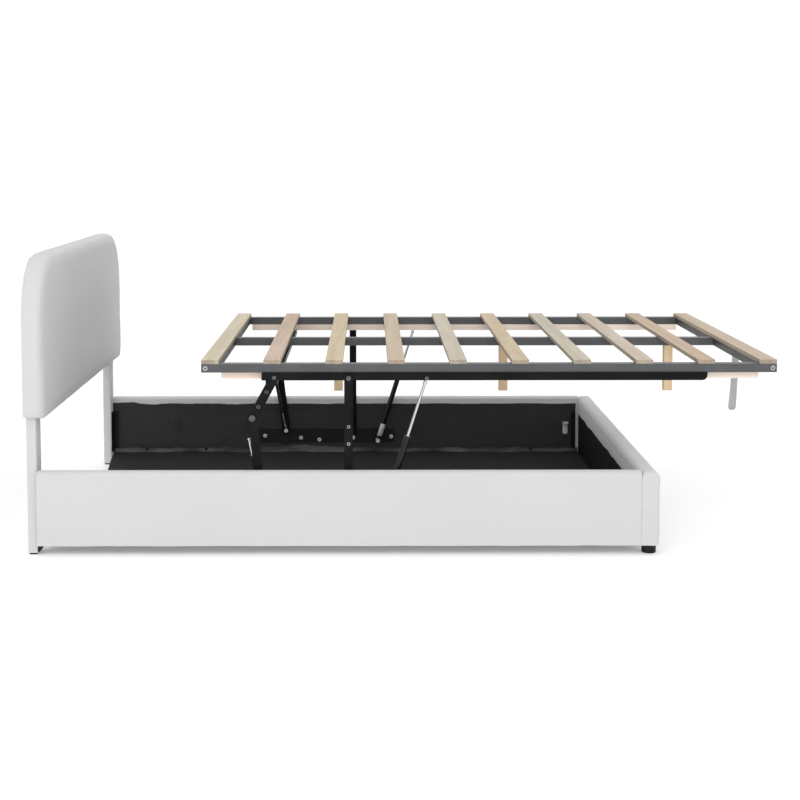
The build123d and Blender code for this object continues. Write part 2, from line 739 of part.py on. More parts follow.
def make_slats():
    step = (frame_length - slat_width) / (slat_count - 1)
    z_top = z_slats + slat_thickness
    y_screw = y_frame - tube_width / 2
    screws = []
    for k in range(slat_count):
        x0 = x_frame_head + k * step
        slat = block(x0, x0 + slat_width, -y_frame, y_frame, z_slats, z_top)
        slat = fillet(slat.edges().filter_by(Axis.Y), slat_edge_radius)
        x = x0 + slat_width / 2
        for hole in both_sides(slat_screw(x, y_screw, slat_screw_fit, z_top + overrun)):
            slat -= hole
        save(f"slat_{k + 1:02d}", slat)
        screws += both_sides(slat_screw(x, y_screw, 0, z_top - slat_screw_sink))
    save("slat_screws", *screws)


def make_upper_rails():
    x0 = link_top[0] - rail_head_reach
    x1 = x0 + rail_length
    web = block(x0, x1, y_frame, y_rail, z_frame - rail_drop, z_frame + rail_lip)
    web = fillet(edges_along(web, Axis.Y, X=x1, Z=z_frame - rail_drop), rail_corner_radius)
    web += block(x0, x1, y_frame - rail_flange_width, y_frame, z_frame - rail_flange_thickness, z_frame)
    save("upper_rails", *both_sides(web))

    y_link_out = y_front_link + front_link_thickness
    pin = stud(link_top, pin_radius, y_rail, y_link_out + layer_gap)
    pin += stud(link_top, pin_head_radius, y_rail, y_front_link - layer_gap)
    y_cap = y_link_out + layer_gap
    pin += stud(link_top, slim_head_radius, y_cap, y_cap + pin_head_height)
    y_lug = y_frame - rail_thickness
    nut = Pos(*rear_top) * RegularPolygon(bolt_head_radius, 6)
    strut_bolt = stud(main_strut_top, bolt_head_radius, y_rail, y_rail + pin_head_height)
    save("rail_pins", *both_sides(pin, plate(nut, y_lug - bolt_head_height, y_lug), strut_bolt))

    # A bar under the battens ties the two rails together, with a lug turned up at each end
    x_mid = rear_top[0] + cross_bar_offset
    x0, x1 = x_mid - cross_bar_width / 2, x_mid + cross_bar_width / 2
    z1 = z_frame - batten_height
    z0 = z1 - cross_bar_height
    bar = block(x0, x1, -y_frame, y_frame, z0, z1)
    bar -= block(x0 + tube_wall, x1 - tube_wall, -y_frame - overrun, y_frame + overrun, z0 + tube_wall,
                 z1 - tube_wall)
    lug = block(x0, x1, y_lug, y_frame, z1 - tube_wall, z_frame - rail_flange_thickness)
    bar += lug
    bar += right_of(lug)
    save("cross_bar", bar)


def make_battens():
    y1 = y_frame - tube_width + batten_overlap
    x0 = x_frame_head + batten_head_inset
    x1 = x_frame_foot - batten_foot_inset
    batten = block(x0, x1, y1 - batten_width, y1, z_frame - batten_height, z_frame)
    save("battens", *both_sides(batten))


def make_centre_legs():
    legs = []
    half = centre_leg_side / 2
    for x in centre_leg_places():
        leg = block(x - half, x + half, -half, half, z_frame - centre_leg_length(), z_frame)
        legs.append(fillet(leg.edges().filter_by(Axis.Z), centre_leg_edge_radius))
    save("centre_legs", *legs)


def make_pull_strap():
    """A doubled length of webbing that hangs from the foot rail and sways a little at its end."""
    x1 = x_frame_foot - strap_end_inset
    x0 = x1 - strap_width
    z0 = z_frame - strap_length
    front = Spline((x1, z_frame), (x1 - strap_middle_sway, (z_frame + z0) / 2), (x1 - strap_sway, z0))
    back = Spline((x0 - strap_sway, z0), (x0 - strap_middle_sway, (z_frame + z0) / 2), (x0, z_frame))
    outline = make_face([front, Line(front @ 1, back @ 0), back, Line(back @ 1, front @ 0)])
    y_mid = -strap_offset_y
    strap = plate(outline, y_mid - strap_thickness / 2, y_mid + strap_thickness / 2)
    slit = block(x0 - 2 * strap_sway, x1 + overrun, y_mid - strap_slit / 2, y_mid + strap_slit / 2,
                 z0 + strap_thickness, z_frame - strap_thickness)
    save("pull_strap", strap - slit)


os.makedirs("parts", exist_ok=True)
make_headboard()
make_headboard_legs()
make_side_panels()
make_foot_panel()
make_corner_brackets()
make_rest_brackets()
make_storage_floor()
make_base_plates()
make_front_links()
make_rear_links()
make_rear_levers()
make_small_struts()
make_main_struts()
make_frame()
make_slats()
make_upper_rails()
make_battens()
make_centre_legs()
make_pull_strap()
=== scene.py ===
# %% [markdown]
# # A storage bed with a lifting platform
# The bed is a box of upholstered boards around a welded steel platform that rises on swinging
# links. Its rigid pieces could be drawn again here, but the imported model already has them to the
# tenth of a millimetre, so they are loaded and only get their finish. Fabric, linings and webbing
# are what a solid modeller draws poorly, so these are made here in place of the model's solids.

# %% Load the frame
import json
import math

import bpy
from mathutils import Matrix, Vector, noise


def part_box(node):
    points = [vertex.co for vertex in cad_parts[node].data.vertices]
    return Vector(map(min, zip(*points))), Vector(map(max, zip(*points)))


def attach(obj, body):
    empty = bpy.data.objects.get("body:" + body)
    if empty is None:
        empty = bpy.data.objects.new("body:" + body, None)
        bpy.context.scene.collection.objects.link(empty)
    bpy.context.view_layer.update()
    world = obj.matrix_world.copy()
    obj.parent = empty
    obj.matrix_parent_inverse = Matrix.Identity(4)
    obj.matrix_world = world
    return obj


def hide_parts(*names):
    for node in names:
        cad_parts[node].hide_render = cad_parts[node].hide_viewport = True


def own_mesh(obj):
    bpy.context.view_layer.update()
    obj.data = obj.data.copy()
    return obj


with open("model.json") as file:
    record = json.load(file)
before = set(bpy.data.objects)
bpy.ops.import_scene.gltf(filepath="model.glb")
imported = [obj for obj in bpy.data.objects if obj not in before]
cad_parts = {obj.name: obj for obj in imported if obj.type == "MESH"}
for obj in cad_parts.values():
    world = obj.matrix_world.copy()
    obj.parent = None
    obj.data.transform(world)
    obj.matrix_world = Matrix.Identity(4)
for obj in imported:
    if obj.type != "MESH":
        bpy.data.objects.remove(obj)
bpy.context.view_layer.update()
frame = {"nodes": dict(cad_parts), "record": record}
nodes = frame["nodes"]
scene = bpy.context.scene

# %% [markdown]
# The picture was taken square to the long side from six metres away, which keeps the far side of
# the bed nearly as long as the near one. A camera can be placed by eye, but here the bed's known
# edges were fitted to the picture, and the fit gave the place, the slight downward tilt and the
# lens. A small shift does the rest, as on a studio camera, so upright edges stay upright.

# %% Camera
camera_place = (-0.1179, -5.9445, 1.3981)
camera_tilt = 0.0820
camera_turn = -0.0057
aim = (math.pi / 2 - camera_tilt, 0, camera_turn)
bpy.ops.object.camera_add(location=camera_place, rotation=aim)
camera = bpy.context.object
camera.name = "studio_camera"
camera.data.sensor_width = 36.0
camera.data.lens = 68.01
camera.data.shift_x = 0.0289
camera.data.shift_y = -0.157
scene.camera = camera
print("camera", camera.data.lens, "mm lens")

# %% [markdown]
# A finish is a small network of nodes. Written out by hand each would take a page, so a few
# helpers add a node, join it, and give the patterns that most finishes share: speckle from a
# noise, a colour mix, a range and a sum. The last step joins the pattern to the shader as colour,
# roughness and relief. What is the same all over a piece is set straight on the shader's sockets.

# %% Helpers for finishes
def join(tree, socket, value):
    """Join another node's output to a socket, or set the socket's own value."""
    if isinstance(value, bpy.types.NodeSocket):
        tree.links.new(value, socket)
    elif socket.type == "RGBA":
        socket.default_value = (*value, 1.0)
    else:
        socket.default_value = value


def add(tree, kind, sockets, **settings):
    """A node with its settings, and its sockets set or joined by name or number."""
    made = tree.nodes.new(kind)
    for name, value in settings.items():
        setattr(made, name, value)
    for name, value in sockets.items():
        join(tree, made.inputs[name], value)
    return made


finishes = {}


def new_finish(name, **sockets):
    """A material and its tree, with the shader's values that are the same all over."""
    finish = bpy.data.materials.new(name)
    finishes[name] = finish
    finish.use_nodes = True
    tree = finish.node_tree
    for socket, value in sockets.items():
        join(tree, tree.nodes["Principled BSDF"].inputs[socket.replace("_", " ")], value)
    return finish, tree


def dress(finish, shade, rough=None, height=None, depth=0.0):
    """Join a finish's colour to its shader and, where they vary, its roughness and its relief."""
    tree = finish.node_tree
    shader = tree.nodes["Principled BSDF"]
    join(tree, shader.inputs["Base Color"], shade)
    if rough is not None:
        join(tree, shader.inputs["Roughness"], rough)
    if height is not None:
        made = add(tree, "ShaderNodeBump", {"Height": height, "Distance": depth, "Strength": 1.0})
        join(tree, shader.inputs["Normal"], made.outputs[0])
    return finish


def places(tree, stretch=(1, 1, 1), shift=(0, 0, 0), source="Object"):
    """The piece's own coordinates, stretched and shifted."""
    where = add(tree, "ShaderNodeTexCoord", {}).outputs[source]
    sockets = {"Vector": where, "Scale": stretch, "Location": shift}
    return add(tree, "ShaderNodeMapping", sockets).outputs[0]


def speckle(tree, where, scale, detail=3.0, rough=0.5, twist=0.0):
    sockets = {"Vector": where, "Scale": scale, "Detail": detail, "Roughness": rough,
               "Distortion": twist}
    return add(tree, "ShaderNodeTexNoise", sockets).outputs["Fac"]


def ribs(tree, where, scale, twist, direction="X"):
    """Even bands across one direction, bent a little by noise."""
    sockets = {"Vector": where, "Scale": scale, "Distortion": twist, "Detail": 2.0}
    return add(tree, "ShaderNodeTexWave", sockets, bands_direction=direction).outputs["Fac"]


def mixed(tree, share, first, second):
    sockets = {0: share, 6: first, 7: second}
    return add(tree, "ShaderNodeMix", sockets, data_type="RGBA").outputs[2]


def ranged(tree, value, low, high, at_low=0.0, at_high=1.0):
    sockets = {"Value": value, "From Min": low, "From Max": high, "To Min": at_low,
               "To Max": at_high}
    return add(tree, "ShaderNodeMapRange", sockets).outputs[0]


def layered(tree, shade, over, pattern, low, high, most=1.0):
    """One colour with another over it, more of it where a pattern is higher."""
    return mixed(tree, ranged(tree, pattern, low, high, 0.0, most), shade, over)


def reckon(tree, operation, first, second):
    return add(tree, "ShaderNodeMath", {0: first, 1: second}, operation=operation).outputs[0]


def height_of(tree, where, axis):
    """One coordinate of a place: X, Y or Z."""
    return add(tree, "ShaderNodeSeparateXYZ", {"Vector": where}).outputs[axis]


def distance_from_middle(tree):
    """How far a point is from the bed's centre line, on either side."""
    return reckon(tree, "ABSOLUTE", height_of(tree, places(tree), "Y"), 0.0)


# %% [markdown]
# The upholstery is a pale grey woven fabric with a soft nap. A weave can be drawn on object
# coordinates, but then it smears on the sides that face along it, so it follows a UV map in
# metres that each fabric piece gets when its shape is done. Two sets of threads cross at 2.4 mm,
# slubs lighten and darken them, and a little sheen stands for the nap.

# %% Upholstery fabric
thread_pitch = 0.0024


def thread_scale(pitch):
    """The wave texture's scale for threads at this distance in metres."""
    return 2 * math.pi / (20 * pitch)


def make_upholstery(name, light, dark):
    finish, tree = new_finish(name, Roughness=0.88, Sheen_Weight=0.25, Sheen_Roughness=0.45,
                              Specular_IOR_Level=0.2)
    cut = places(tree, source="UV")
    threads = thread_scale(thread_pitch)
    warp = ribs(tree, cut, threads, 0.6, "X")
    weft = ribs(tree, cut, threads, 0.6, "Y")
    weave = reckon(tree, "MULTIPLY", warp, weft)
    slub_across = speckle(tree, places(tree, (60, 700, 1), source="UV"), 1.0, 2.0)
    slub_along = speckle(tree, places(tree, (700, 60, 1), source="UV"), 1.0, 2.0)
    slub = reckon(tree, "ADD", slub_across, slub_along)
    broad = speckle(tree, places(tree), 3.5, 2.0)
    shade = layered(tree, dark, light, slub, 0.7, 1.3)
    shade = layered(tree, shade, light, weave, 0.0, 0.9, 0.12)
    shade = layered(tree, shade, dark, broad, 0.3, 0.7, 0.35)
    return dress(finish, shade, None, reckon(tree, "ADD", weave, slub), 0.0004)


upholstery = make_upholstery("upholstery", (0.70, 0.70, 0.71), (0.63, 0.63, 0.635))
print("made", upholstery.name)

# %% [markdown]
# Inside the box and behind the headboard the boards are faced with a black non-woven lining. It
# is pressed from fine fibres with small embossed points, so it is drawn with a fine fibre noise,
# a grid of points 3 mm apart, and slow patches where it has been handled.

# %% Lining
point_pitch = 0.003
# Width and waviness of the painted highlight, a lighter band along the floor cloth's turned-up edge.
lit_band_width = 0.008
lit_band_wander = 0.006


def make_lining(name, base, worn, sheen=0.12, gloss=0.3, lit_fold=None):
    """The last argument gives (distance from the centre line, colour) of a painted highlight where an edge
    turns up.
    """
    finish, tree = new_finish(name, Roughness=0.78, Sheen_Weight=sheen, Sheen_Roughness=0.5,
                              Specular_IOR_Level=gloss)
    fibres = speckle(tree, places(tree), 900.0, 4.0, 0.7, 1.5)
    patches = speckle(tree, places(tree), 5.0, 4.0, 0.6)
    across = ribs(tree, places(tree, source="UV"), thread_scale(point_pitch), 0.1, "X")
    along = ribs(tree, places(tree, source="UV"), thread_scale(point_pitch), 0.1, "Y")
    points = reckon(tree, "MULTIPLY", across, along)
    shade = layered(tree, base, worn, fibres, 0.35, 0.65)
    shade = layered(tree, shade, worn, patches, 0.35, 0.75, 0.5)
    # Painted highlight: a lighter, wavy band where the cloth turns up the wall.
    if lit_fold:
        start, wear_and_highlight = lit_fold
        wander = speckle(tree, places(tree, (7, 1, 20)), 1.0, 3.0)
        wander = ranged(tree, wander, 0.3, 0.7, -lit_band_wander, lit_band_wander)
        aside = reckon(tree, "ADD", distance_from_middle(tree), wander)
        highlight_strength = ranged(tree, speckle(tree, places(tree, (4, 1, 1)), 1.0, 2.0), 0.35, 0.6, 0.35, 1.0)
        turned = reckon(tree, "MULTIPLY", ranged(tree, aside, start, start + lit_band_width), highlight_strength)
        shade = mixed(tree, turned, shade, wear_and_highlight)
    return dress(finish, shade, None, reckon(tree, "SUBTRACT", fibres, points), 0.0004)


lining = make_lining("lining", (0.021, 0.021, 0.022), (0.042, 0.042, 0.044))
# The floor cloth gets a painted highlight along its turned-up edge.
floor_lining = make_lining("floor_lining", (0.008, 0.008, 0.008), (0.022, 0.022, 0.023),
                           0.03, 0.1, (0.757, (0.13, 0.128, 0.13)))
# Painted shade: a darker copy of the lining for the inside of the foot panel, which faces the head end.
foot_lining_painted_shade = make_lining("foot_lining_painted_shade", (0.006, 0.006, 0.0065), (0.013, 0.013, 0.014),
                         0.0, 0.12)
print("made", lining.name, floor_lining.name, foot_lining_painted_shade.name)

# %% [markdown]
# The slats are planed poplar, each from another board, so one is pinkish, one greenish and one
# yellow. A single wood finish would repeat, so each slat gets its own tint and its own part of
# the pattern. The grain is a wave bent by noise and drawn out along the board, over fine pores,
# and the side faces, which lie below the top face, are painted darker and greyer as shade.

# %% Wood
arris = (0.0012, 0.0004)


def make_wood(name, pale, dark, along, seed, edge=None):
    """Wood with its grain along one axis. edge is (top height, colour) of the painted shade on the side
    faces.
    """
    finish, tree = new_finish(name, Roughness=0.62, Specular_IOR_Level=0.3)
    broad = [26.0, 26.0, 26.0]
    fine = [700.0, 700.0, 700.0]
    broad[along] = 1.4
    fine[along] = 14.0
    shift = (seed * 3.17, seed * 1.73, seed * 2.41)
    figure = speckle(tree, places(tree, broad, shift), 1.0, 4.0, 0.55, 0.8)
    rings = ribs(tree, places(tree, broad, shift), 1.1, 5.0, "XYZ"[2 if along == 0 else 0])
    pores = speckle(tree, places(tree, fine, shift), 1.0, 3.0, 0.6)
    cloud = speckle(tree, places(tree, (1, 1, 1), shift), 2.2, 2.0)
    shade = layered(tree, pale, dark, figure, 0.32, 0.72)
    shade = layered(tree, shade, dark, rings, 0.55, 1.0, 0.35)
    shade = layered(tree, shade, dark, pores, 0.55, 0.75, 0.30)
    shade = layered(tree, shade, dark, cloud, 0.35, 0.70, 0.25)
    # Painted shade: the side faces below the top face are drawn in a darker, greyer colour.
    if edge:
        top, side_shade_colour = edge
        level = height_of(tree, places(tree), "Z")
        side = ranged(tree, level, top - arris[0], top - arris[1], 1.0, 0.0)
        streak = ranged(tree, figure, 0.3, 0.7, 0.45, 1.0)
        shade = mixed(tree, reckon(tree, "MULTIPLY", side, streak), shade, side_shade_colour)
    rough = ranged(tree, pores, 0.3, 0.7, 0.52, 0.72)
    return dress(finish, shade, rough, reckon(tree, "ADD", pores, figure), 0.0003)


slat_tints = (
    ((0.70, 0.61, 0.45), (0.55, 0.47, 0.35)),
    ((0.66, 0.52, 0.40), (0.49, 0.36, 0.27)),
    ((0.68, 0.57, 0.38), (0.52, 0.42, 0.28)),
    ((0.65, 0.53, 0.39), (0.50, 0.40, 0.29)),
    ((0.63, 0.57, 0.44), (0.48, 0.43, 0.34)),
    ((0.68, 0.55, 0.38), (0.50, 0.40, 0.27)),
    ((0.62, 0.56, 0.43), (0.47, 0.42, 0.33)),
    ((0.67, 0.58, 0.46), (0.50, 0.42, 0.34)),
    ((0.61, 0.49, 0.35), (0.47, 0.35, 0.25)),
    ((0.64, 0.54, 0.40), (0.50, 0.41, 0.30)),
)
# The colour of the painted shade on the slats' side faces.
painted_side_shade = (0.30, 0.245, 0.19)
slat_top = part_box("slat_01")[1].z
slat_finishes = []
for number, (pale, dark) in enumerate(slat_tints, 1):
    made = make_wood(f"slat_wood_{number:02d}", pale, dark, 1, number, (slat_top, painted_side_shade))
    slat_finishes.append(made)
batten_wood = make_wood("batten_wood", (0.97, 0.87, 0.78), (0.88, 0.71, 0.59), 0, 17)
leg_wood = make_wood("leg_wood", (0.94, 0.75, 0.49), (0.76, 0.56, 0.34), 2, 23)
softwood = make_wood("softwood", (0.62, 0.47, 0.30), (0.46, 0.32, 0.19), 2, 29)
print("made", len(slat_finishes), "slat finishes,", batten_wood.name, leg_wood.name, softwood.name)

# %% [markdown]
# The steel is slate powder coated on the platform's frame, satin black on the linkage, its plates
# and brackets, and gloss black on the gas struts. Powder coat is slightly pebbled, and it is
# thinner and paler where it wears, so each paint mixes a fine orange-peel relief with faint scuffs.

# %% Painted steel
def make_paint(name, base, scuffed, rough, peel, coat=0.0, gloss=0.4):
    """rough is how dull the paint is, and peel the depth of its orange-peel relief."""
    finish, tree = new_finish(name, Coat_Weight=coat, Coat_Roughness=0.08, Specular_IOR_Level=gloss)
    pebbles = speckle(tree, places(tree), 420.0, 2.0)
    smudges = speckle(tree, places(tree), 9.0, 5.0, 0.65)
    scuffs = speckle(tree, places(tree, (40, 400, 40)), 1.0, 3.0, 0.6, 0.6)
    shade = layered(tree, base, scuffed, smudges, 0.40, 0.80, 0.6)
    shade = layered(tree, shade, scuffed, scuffs, 0.66, 0.80, 0.7)
    dulled = ranged(tree, smudges, 0.3, 0.7, rough - 0.06, rough + 0.08)
    return dress(finish, shade, dulled, pebbles, peel)


frame_paint = make_paint("frame_paint", (0.078, 0.080, 0.084), (0.125, 0.126, 0.130), 0.42, 0.00012)
make_paint("mechanism_paint", (0.004, 0.004, 0.0045), (0.016, 0.016, 0.017), 0.40, 0.00010, gloss=0.12)
make_paint("bracket_paint", (0.010, 0.010, 0.011), (0.026, 0.026, 0.027), 0.45, 0.00010, gloss=0.15)
make_paint("strut_paint", (0.006, 0.006, 0.007), (0.018, 0.018, 0.02), 0.26, 0.00004, 0.10, 0.3)
plate_paint = make_paint("plate_paint", (0.015, 0.015, 0.015), (0.032, 0.032, 0.033), 0.45, 0.00010,
                         gloss=0.15)
# Painted shade: a darker copy of the frame's paint for the end rails, whose inner faces lie in shade.
end_rail_shade_paint = make_paint("end_rail_shade_paint", (0.050, 0.050, 0.050), (0.085, 0.083, 0.080), 0.46, 0.00012,
                       gloss=0.25)
print("made six paints, such as", frame_paint.name)

# %% [markdown]
# Bolts and small brackets are zinc plated, the lever's rivets and pins are dark steel, and the
# piston rods are ground. Plating is dull and spangled, and a bolt's key socket gets painted shade,
# black on its floor. A ground rod is bright with fine rings round it. So all are metals whose
# roughness varies, the rod's across very thin bands.

# %% Bare metal and plastic
# Painted shade in the key sockets: how far it reaches, and its colour.
socket_shade_reach = (0.0004, 0.0006)
socket_shade_colour = (0.01, 0.01, 0.01)


def make_plating(name, bright, dull, rough, metallic, sunk=None):
    """sunk is the distance from the centre line of a key socket's floor, which is drawn black as painted
    shade.
    """
    finish, tree = new_finish(name, Metallic=metallic)
    cells = add(tree, "ShaderNodeTexVoronoi", {"Vector": places(tree), "Scale": 320.0})
    spangle = cells.outputs["Distance"]
    stain = speckle(tree, places(tree), 60.0, 4.0, 0.6)
    shade = layered(tree, bright, dull, stain, 0.35, 0.7)
    shade = layered(tree, shade, dull, spangle, 0.1, 0.7, 0.25)
    # Painted shade: the key socket's floor is drawn black.
    if sunk:
        off = reckon(tree, "SUBTRACT", distance_from_middle(tree), sunk)
        socket_shade = ranged(tree, reckon(tree, "ABSOLUTE", off, 0.0), *socket_shade_reach, 1.0, 0.0)
        shade = mixed(tree, socket_shade, shade, socket_shade_colour)
    dulled = ranged(tree, stain, 0.3, 0.7, rough - 0.08, rough + 0.1)
    return dress(finish, shade, dulled, spangle, 0.00004)


def make_ground_rod(name, bright, dull):
    finish, tree = new_finish(name, Metallic=1.0)
    rings = speckle(tree, places(tree, (20, 20, 2600)), 1.0, 2.0)
    stain = speckle(tree, places(tree), 30.0, 3.0)
    shade = layered(tree, bright, dull, stain, 0.3, 0.7)
    return dress(finish, shade, ranged(tree, rings, 0.3, 0.7, 0.12, 0.26), rings, 0.00002)


def make_plastic(name, base, worn):
    finish, tree = new_finish(name, Specular_IOR_Level=0.2)
    grain = speckle(tree, places(tree), 1400.0, 2.0)
    wear_and_highlight = speckle(tree, places(tree), 25.0, 3.0, 0.6)
    shade = layered(tree, base, worn, wear_and_highlight, 0.4, 0.75)
    return dress(finish, shade, ranged(tree, wear_and_highlight, 0.3, 0.7, 0.42, 0.6), grain, 0.00008)


zinc = make_plating("zinc", (0.56, 0.56, 0.55), (0.36, 0.36, 0.355), 0.34, 0.6)
dark_steel = make_plating("dark_steel", (0.13, 0.13, 0.13), (0.07, 0.07, 0.07), 0.4, 0.5)
bright_zinc = make_plating("bright_zinc", (0.90, 0.90, 0.89), (0.66, 0.66, 0.65), 0.34, 0.15)
socket_depth = 0.002
wall_bolt_face = 0.7608
rail_bolt_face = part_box("frame_bolts")[1].y
wall_bolt_zinc = make_plating("wall_bolt_zinc", (0.92, 0.92, 0.91), (0.70, 0.70, 0.69), 0.34, 0.1,
                              wall_bolt_face + socket_depth)
rail_bolt_zinc = make_plating("rail_bolt_zinc", (0.60, 0.60, 0.59), (0.40, 0.40, 0.40), 0.34, 0.5,
                              rail_bolt_face - socket_depth)
strut_sleeve = make_plating("strut_sleeve", (0.78, 0.78, 0.79), (0.62, 0.62, 0.63), 0.3, 0.4)
strut_rod = make_ground_rod("strut_rod", (0.72, 0.72, 0.73), (0.58, 0.58, 0.60))
plastic = make_plastic("plastic", (0.007, 0.007, 0.008), (0.02, 0.02, 0.021))
make_plastic("webbing_plain", (0.5, 0.5, 0.53), (0.42, 0.42, 0.45))
make_lining("floor_board", (0.018, 0.018, 0.019), (0.04, 0.04, 0.042))
print("made", zinc.name, strut_rod.name, plastic.name, "and others")

# %% [markdown]
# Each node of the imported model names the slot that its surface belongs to, and most finishes are
# named like their slot, so they are handed out by that name. Only the slats, which all differ, and
# a few steel pieces and bolts that look unlike the rest of their slot are handed out one by one.

# %% Give the nodes their finishes
finish_of_slot = {"timber": "softwood", "slat_wood": "slat_wood_01", "webbing": "webbing_plain"}


def cover_with(piece, finish):
    piece.data.materials.clear()
    piece.data.materials.append(finish)


for part in frame["record"]["subparts"]:
    slot = part["material_slot"]
    cover_with(nodes[part["node"]], finishes[finish_of_slot.get(slot, slot)])
for number, finish in enumerate(slat_finishes, 1):
    cover_with(nodes[f"slat_{number:02d}"], finish)
for finish, names in (
    (leg_wood, ("centre_legs",)),
    (plate_paint, ("base_plates",)),
    # The end rails get painted shade, a darker copy of the frame's paint.
    (end_rail_shade_paint, ("end_rails",)),
    (wall_bolt_zinc, ("base_plate_bolts",)),
    (rail_bolt_zinc, ("frame_bolts",)),
    (dark_steel, ("lever_studs", "knee_pins", "rail_pins")),
    (bright_zinc, ("base_pivot_pins", "rest_brackets", "rest_bracket_screws")),
):
    for name in names:
        cover_with(nodes[name], finish)
print("finished", len(nodes), "nodes")

# %% [markdown]
# New pieces start from a primitive at its size and place, and are shaped in edit mode. The next
# helpers do what a hand would do there: select by place, bevel, apply a modifier, unfold.

# %% Helpers for shapes
same_place = 1e-4
smooth_angle = math.radians(40)
sides = (("left", 1), ("right", -1))


def deselect_all():
    bpy.ops.object.select_all(action="DESELECT")


def work_on(piece):
    """Make this the only selected piece, since an operator acts on all that is selected."""
    deselect_all()
    piece.select_set(True)
    bpy.context.view_layer.objects.active = piece


def settle(piece, name, size=(1, 1, 1)):
    """Name and size a new primitive, and put its place, turn and size into its mesh."""
    piece.name = name
    piece.data.name = name
    piece.scale = size
    work_on(piece)
    bpy.ops.object.transform_apply(location=True, rotation=True, scale=True)
    return piece


def block_between(name, low, high):
    deselect_all()
    low = Vector(low)
    high = Vector(high)
    bpy.ops.mesh.primitive_cube_add(size=1, location=(low + high) / 2)
    return settle(bpy.context.object, name, high - low)


def block_on_side(name, side, low, high):
    """A block on the left for side 1, or on the right for -1. Its Y places are from the middle."""
    near, far = sorted((side * low[1], side * high[1]))
    return block_between(name, (low[0], near, low[2]), (high[0], far, high[2]))


def choose_edges(piece, chosen):
    """Select the edges whose two ends are chosen, and enter edit mode."""
    work_on(piece)
    bpy.context.tool_settings.mesh_select_mode = (False, True, False)
    for group in (piece.data.vertices, piece.data.edges, piece.data.polygons):
        group.foreach_set("select", [False] * len(group))
    points = piece.data.vertices
    for edge in piece.data.edges:
        edge.select = chosen(*(points[end].co for end in edge.vertices))
    bpy.ops.object.mode_set(mode="EDIT")


def round_edges(piece, chosen, radius, steps):
    choose_edges(piece, chosen)
    bpy.ops.mesh.bevel(offset=radius, segments=steps, affect="EDGES", clamp_overlap=False)
    bpy.ops.object.mode_set(mode="OBJECT")


def apply_modifiers(piece):
    work_on(piece)
    for name in [modifier.name for modifier in piece.modifiers]:
        bpy.ops.object.modifier_apply(modifier=name)


def both(axis, place):
    """True for an edge whose two ends have this coordinate."""
    return lambda p, q: abs(p[axis] - place) < same_place and abs(q[axis] - place) < same_place


def outline_corner(height, reach):
    """True for the front-to-back edge at an outline's corner, at this height and reach from the middle."""
    level = both(2, height)
    return lambda p, q: (level(p, q) and abs(abs(p.y) - reach) < same_place
                         and abs(p.y - q.y) < same_place)


def unfold(piece):
    """A UV map in metres, seen square on from the nearest of six sides."""
    work_on(piece)
    bpy.ops.object.mode_set(mode="EDIT")
    bpy.ops.mesh.select_all(action="SELECT")
    bpy.ops.uv.cube_project(cube_size=1.0, correct_aspect=False)
    bpy.ops.object.mode_set(mode="OBJECT")


def smooth_step(value, low, high):
    share = min(max((value - low) / (high - low), 0.0), 1.0)
    return share * share * (3 - 2 * share)


def uneven(x, y=0.0, z=0.0):
    """A slow random height between -1 and 1, the same for the same place."""
    return noise.noise(Vector((x, y, z)))


def cut_away(piece, cutters):
    """Cut other pieces out of this one, and remove them."""
    for cutter in cutters:
        cut = piece.modifiers.new("cut", "BOOLEAN")
        cut.operation = "DIFFERENCE"
        cut.solver = "EXACT"
        cut.object = cutter
    apply_modifiers(piece)
    for cutter in cutters:
        work_on(cutter)
        bpy.ops.object.delete()


def add_modifier(piece, kind, **settings):
    made = piece.modifiers.new(kind.lower(), kind)
    for name, value in settings.items():
        setattr(made, name, value)
    return made


def thicken(piece, thickness, offset=0.0):
    add_modifier(piece, "SOLIDIFY", thickness=thickness, offset=offset)
    apply_modifiers(piece)


def finish_piece(piece, body, finish):
    """Shade the chosen piece smooth, cover it, and say which body it rides on."""
    bpy.ops.object.shade_smooth_by_angle(angle=smooth_angle)
    cover_with(piece, finish)
    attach(piece, body)


def finish_fabric(piece, body, slot, finish, *replaced):
    unfold(piece)
    finish_piece(piece, body, finish)
    if replaced:
        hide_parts(*replaced)
    print(piece.name, len(piece.data.polygons), "faces")


# %% [markdown]
# Upholstery is fabric drawn over thin foam on a board. A rounded block alone looks like moulded
# plastic, and moving its points by hand gives lumps. So the block, a little too small, gets an
# even grid and is blown up as cloth, and no point may go further than the foam is thick there:
# the faces fill out evenly and pull in towards the edges, as stapled fabric does.

# %% Blow up a form as fabric over foam
pressure = 4.0
last_frame = 20


def normals_of(piece):
    """Every point's normal, read before any point moves, because a move unsettles them all."""
    return [point.normal.copy() for point in piece.data.vertices]


def cut_grid(piece, pitch):
    """Even cuts along all three axes, which give the cloth points and keep the sharp edges."""
    corners = [Vector(corner) for corner in piece.bound_box]
    work_on(piece)
    bpy.ops.object.mode_set(mode="EDIT")
    for axis in (1, 2, 0):
        low = min(corner[axis] for corner in corners)
        high = max(corner[axis] for corner in corners)
        count = round((high - low) / pitch)
        direction = [0, 0, 0]
        direction[axis] = 1
        for number in range(1, count):
            place = [low + (high - low) * number / count if i == axis else 0 for i in range(3)]
            bpy.ops.mesh.select_all(action="SELECT")
            bpy.ops.mesh.bisect(plane_co=place, plane_no=direction)
    bpy.ops.object.mode_set(mode="OBJECT")


def finer(piece, kind):
    """One more subdivision: SIMPLE keeps sharp edges, CATMULL_CLARK rounds them."""
    add_modifier(piece, "SUBSURF", levels=1, render_levels=1, subdivision_type=kind)
    apply_modifiers(piece)


